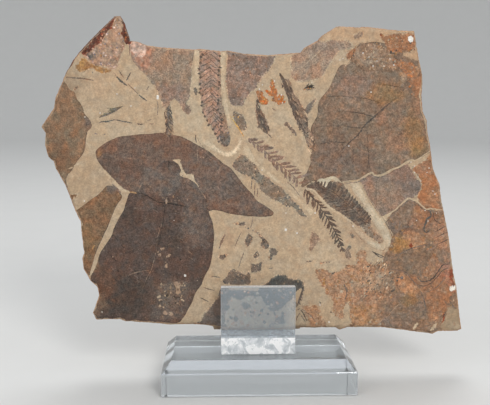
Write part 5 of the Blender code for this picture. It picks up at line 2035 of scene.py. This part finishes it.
def upright_surface():
    """Acrylic of the uprights: clear through their faces, with pale saw-cut edges, and below the ledge's top
    a white haze that is partly cement and partly painted glare.
    """
    surface = acrylic_surface("acrylic_upright", 0.86, (0.90, 0.96, 1.0))
    turned = surface.nodes.new("ShaderNodeSeparateXYZ")
    surface.links.new(surface.nodes["Texture Coordinate"].outputs["Normal"], turned.inputs[0])
    facing = surface.combine("ABSOLUTE", turned.outputs["Y"], 0.0)
    edges = surface.spread(facing, 0.35, 0.75, 1.0, 0.0)
    grain = surface.noise(0.5 * MM, 3.0, 0.6)
    cut = surface.combine("MULTIPLY", edges, surface.spread(grain, 0.3, 0.7, 0.6, 1.0))
    # Below the ledge's top: white streaks, partly cement haze and partly painted glare.
    high = surface.nodes.new("ShaderNodeSeparateXYZ")
    surface.links.new(surface.place, high.inputs[0])
    cemented = surface.spread(high.outputs["Z"], LEDGE_TOP + 0.3 * MM, LEDGE_TOP - 0.3 * MM, 0.0, 1.0)
    streaks = surface.spread(surface.noise(5 * MM, 5.0, 0.65, 0.6), 0.38, 0.56, 0.35, 1.0)
    cut = surface.combine("MAXIMUM", cut, surface.combine("MULTIPLY", cemented, streaks))
    surface.connect(surface.spread(cut, 0.0, 1.0, 0.86, 0.12), "Transmission Weight")
    surface.connect(surface.mix((0.85, 0.93, 1.0), (1.0, 1.0, 1.0), cut), "Base Color")
    surface.connect(surface.spread(cut, 0.0, 1.0, 0.012, 0.30), "Roughness")
    return surface


def ledge_surface():
    """Acrylic of the cemented block: rows of fine bubbles and smeared cement scatter the light."""
    surface = acrylic_surface("acrylic_ledge", 0.80, (1.0, 1.0, 1.0))
    bubbles = surface.cells(0.9 * MM, "F1")
    spots = surface.spread(bubbles, 0.20, 0.32, 1.0, 0.0)
    streaks = surface.spread(surface.noise(5 * MM, 5.0, 0.65, 1.5), 0.48, 0.60)
    cloudy = surface.combine("MAXIMUM", surface.combine("MULTIPLY", spots, streaks), streaks)
    surface.connect(surface.spread(cloudy, 0.0, 1.0, 0.80, 0.25), "Transmission Weight")
    surface.connect(surface.spread(cloudy, 0.0, 1.0, 0.02, 0.22), "Roughness")
    surface.bump(surface.combine("ADD", spots, surface.noise(2 * MM, 3.0, 0.6)), 0.25 * MM, 0.8)
    return surface


def floor_surface():
    """Plain pale paper."""
    surface = Surface("studio_floor", 0.9)
    fibres = surface.noise(40 * MM, 4.0, 0.6)
    tone = surface.spread(fibres, 0.3, 0.7, 0.985, 1.0)
    surface.connect(surface.mix(FLOOR_TINT, tone, 1.0, "MULTIPLY"), "Base Color")
    surface.shader.inputs["Specular IOR Level"].default_value = 0.1
    return surface


# ---------------------------------------------------------------- studio
SLAB_MIDDLE_Z = 0.11
FLOOR_TINT = srgb(222, 222, 220)
# The clear base shows a hair of air under it, as a real one does.
FLOOR_GAP = 0.2 * MM
BOWL_FLAT_RADIUS = 2.2
BOWL_CURVE_RADIUS = 1.2
BOWL_WALL = 0.5
BOWL_SIDES = 96
BOWL_CURVE_STEPS = 24


def make_bowl():
    """The floor: a wide flat disc whose rim sweeps up into a wall, seamless from every side."""
    profile = [(0.02, 0.0), (BOWL_FLAT_RADIUS * 0.5, 0.0)]
    for step in range(BOWL_CURVE_STEPS + 1):
        turn = math.pi / 2 * step / BOWL_CURVE_STEPS
        profile.append((
            BOWL_FLAT_RADIUS + BOWL_CURVE_RADIUS * math.sin(turn),
            BOWL_CURVE_RADIUS * (1 - math.cos(turn)),
        ))
    profile.append((profile[-1][0], profile[-1][1] + BOWL_WALL))
    points = [(0.0, 0.0, -FLOOR_GAP)]
    for radius, height in profile:
        for number in range(BOWL_SIDES):
            turn = math.tau * number / BOWL_SIDES
            points.append((radius * math.cos(turn), radius * math.sin(turn), height - FLOOR_GAP))
    faces = [(0, 1 + number, 1 + (number + 1) % BOWL_SIDES) for number in range(BOWL_SIDES)]
    for level in range(len(profile) - 1):
        for number in range(BOWL_SIDES):
            here = 1 + level * BOWL_SIDES + number
            after = 1 + level * BOWL_SIDES + (number + 1) % BOWL_SIDES
            faces.append((here, here + BOWL_SIDES, after + BOWL_SIDES, after))
    mesh = bpy.data.meshes.new("studio_floor")
    mesh.from_pydata(points, [], faces)
    mesh.materials.append(floor_surface().material)
    mesh.shade_smooth()
    bowl = bpy.data.objects.new("studio_floor", mesh)
    bpy.context.scene.collection.objects.link(bowl)


def add_area_light(name, place, target, size, power, colour):
    data = bpy.data.lights.new(name, "AREA")
    data.shape = "DISK"
    data.size = size
    data.energy = power
    data.color = colour
    light = bpy.data.objects.new(name, data)
    light.location = place
    light.rotation_euler = (Vector(target) - Vector(place)).to_track_quat("-Z", "Y").to_euler()
    bpy.context.scene.collection.objects.link(light)


def make_lights():
    """Soft studio light: a key from the front right, a fill, one from above, and a pale world."""
    middle = (0.0, 0.0, SLAB_MIDDLE_Z)
    add_area_light("key_light", (0.45, -1.15, 0.80), middle, 0.5, 8.5, (1.0, 0.99, 0.97))
    add_area_light("fill_light", (-1.1, -0.8, 0.6), middle, 0.9, 3.6, (0.96, 0.98, 1.0))
    add_area_light("top_light", (0.1, 0.5, 1.5), middle, 0.8, 6.0, (1.0, 1.0, 1.0))
    world = bpy.data.worlds.new("studio_world")
    world.use_nodes = True
    background = world.node_tree.nodes["Background"]
    background.inputs["Color"].default_value = (0.95, 0.97, 1.0, 1.0)
    background.inputs["Strength"].default_value = 0.62
    bpy.context.scene.world = world


def make_camera():
    """The camera at the drawing sheet's eye, so that a sheet cell is one pixel of the picture."""
    right, up, forward = eye_axes()
    data = bpy.data.cameras.new("camera")
    data.sensor_width = 36.0
    data.lens = SHEET_DISTANCE * data.sensor_width / SHEET_WIDTH
    data.clip_start = 0.01
    data.clip_end = 20.0
    camera = bpy.data.objects.new("camera", data)
    turn = Matrix((right, up, -forward)).transposed().to_4x4()
    camera.matrix_world = Matrix.Translation(EYE) @ turn
    bpy.context.scene.collection.objects.link(camera)
    bpy.context.scene.camera = camera


# ---------------------------------------------------------------- the object
def make_slab():
    """The slab's piece, with a surface for each kind."""
    slab = build_slab(random.Random(SHAPE_SEED))
    surfaces = {
        STONE: stone_surface(STONE), FILM: film_surface(), CREAM_KIND: stone_surface(CREAM_KIND),
        CRUST: crust_surface(), FACET: stone_surface(FACET), RIND: stone_surface(RIND),
        GLINT: glint_surface(), SIDE: stone_surface(SIDE), BACK: stone_surface(BACK),
    }
    made = slab.to_object("fossil_slab", [surfaces[kind].material for kind in range(len(KINDS))])
    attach(made, "root")
    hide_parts("fossil_plate")
    return made


def finish_stand():
    """Clear surfaces on the CAD pieces of the stand."""
    upright = upright_surface()
    surfaces = {
        "stand_base": acrylic_surface("acrylic_base", 0.95, (0.93, 0.97, 1.0)),
        "front_plate": upright, "back_plate": upright, "ledge_block": ledge_surface(),
    }
    for name, surface in surfaces.items():
        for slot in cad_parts[name].material_slots:
            slot.material = surface.material


make_slab()
finish_stand()
make_bowl()
make_lights()
make_camera()
bpy.context.scene.view_settings.view_transform = "Standard"
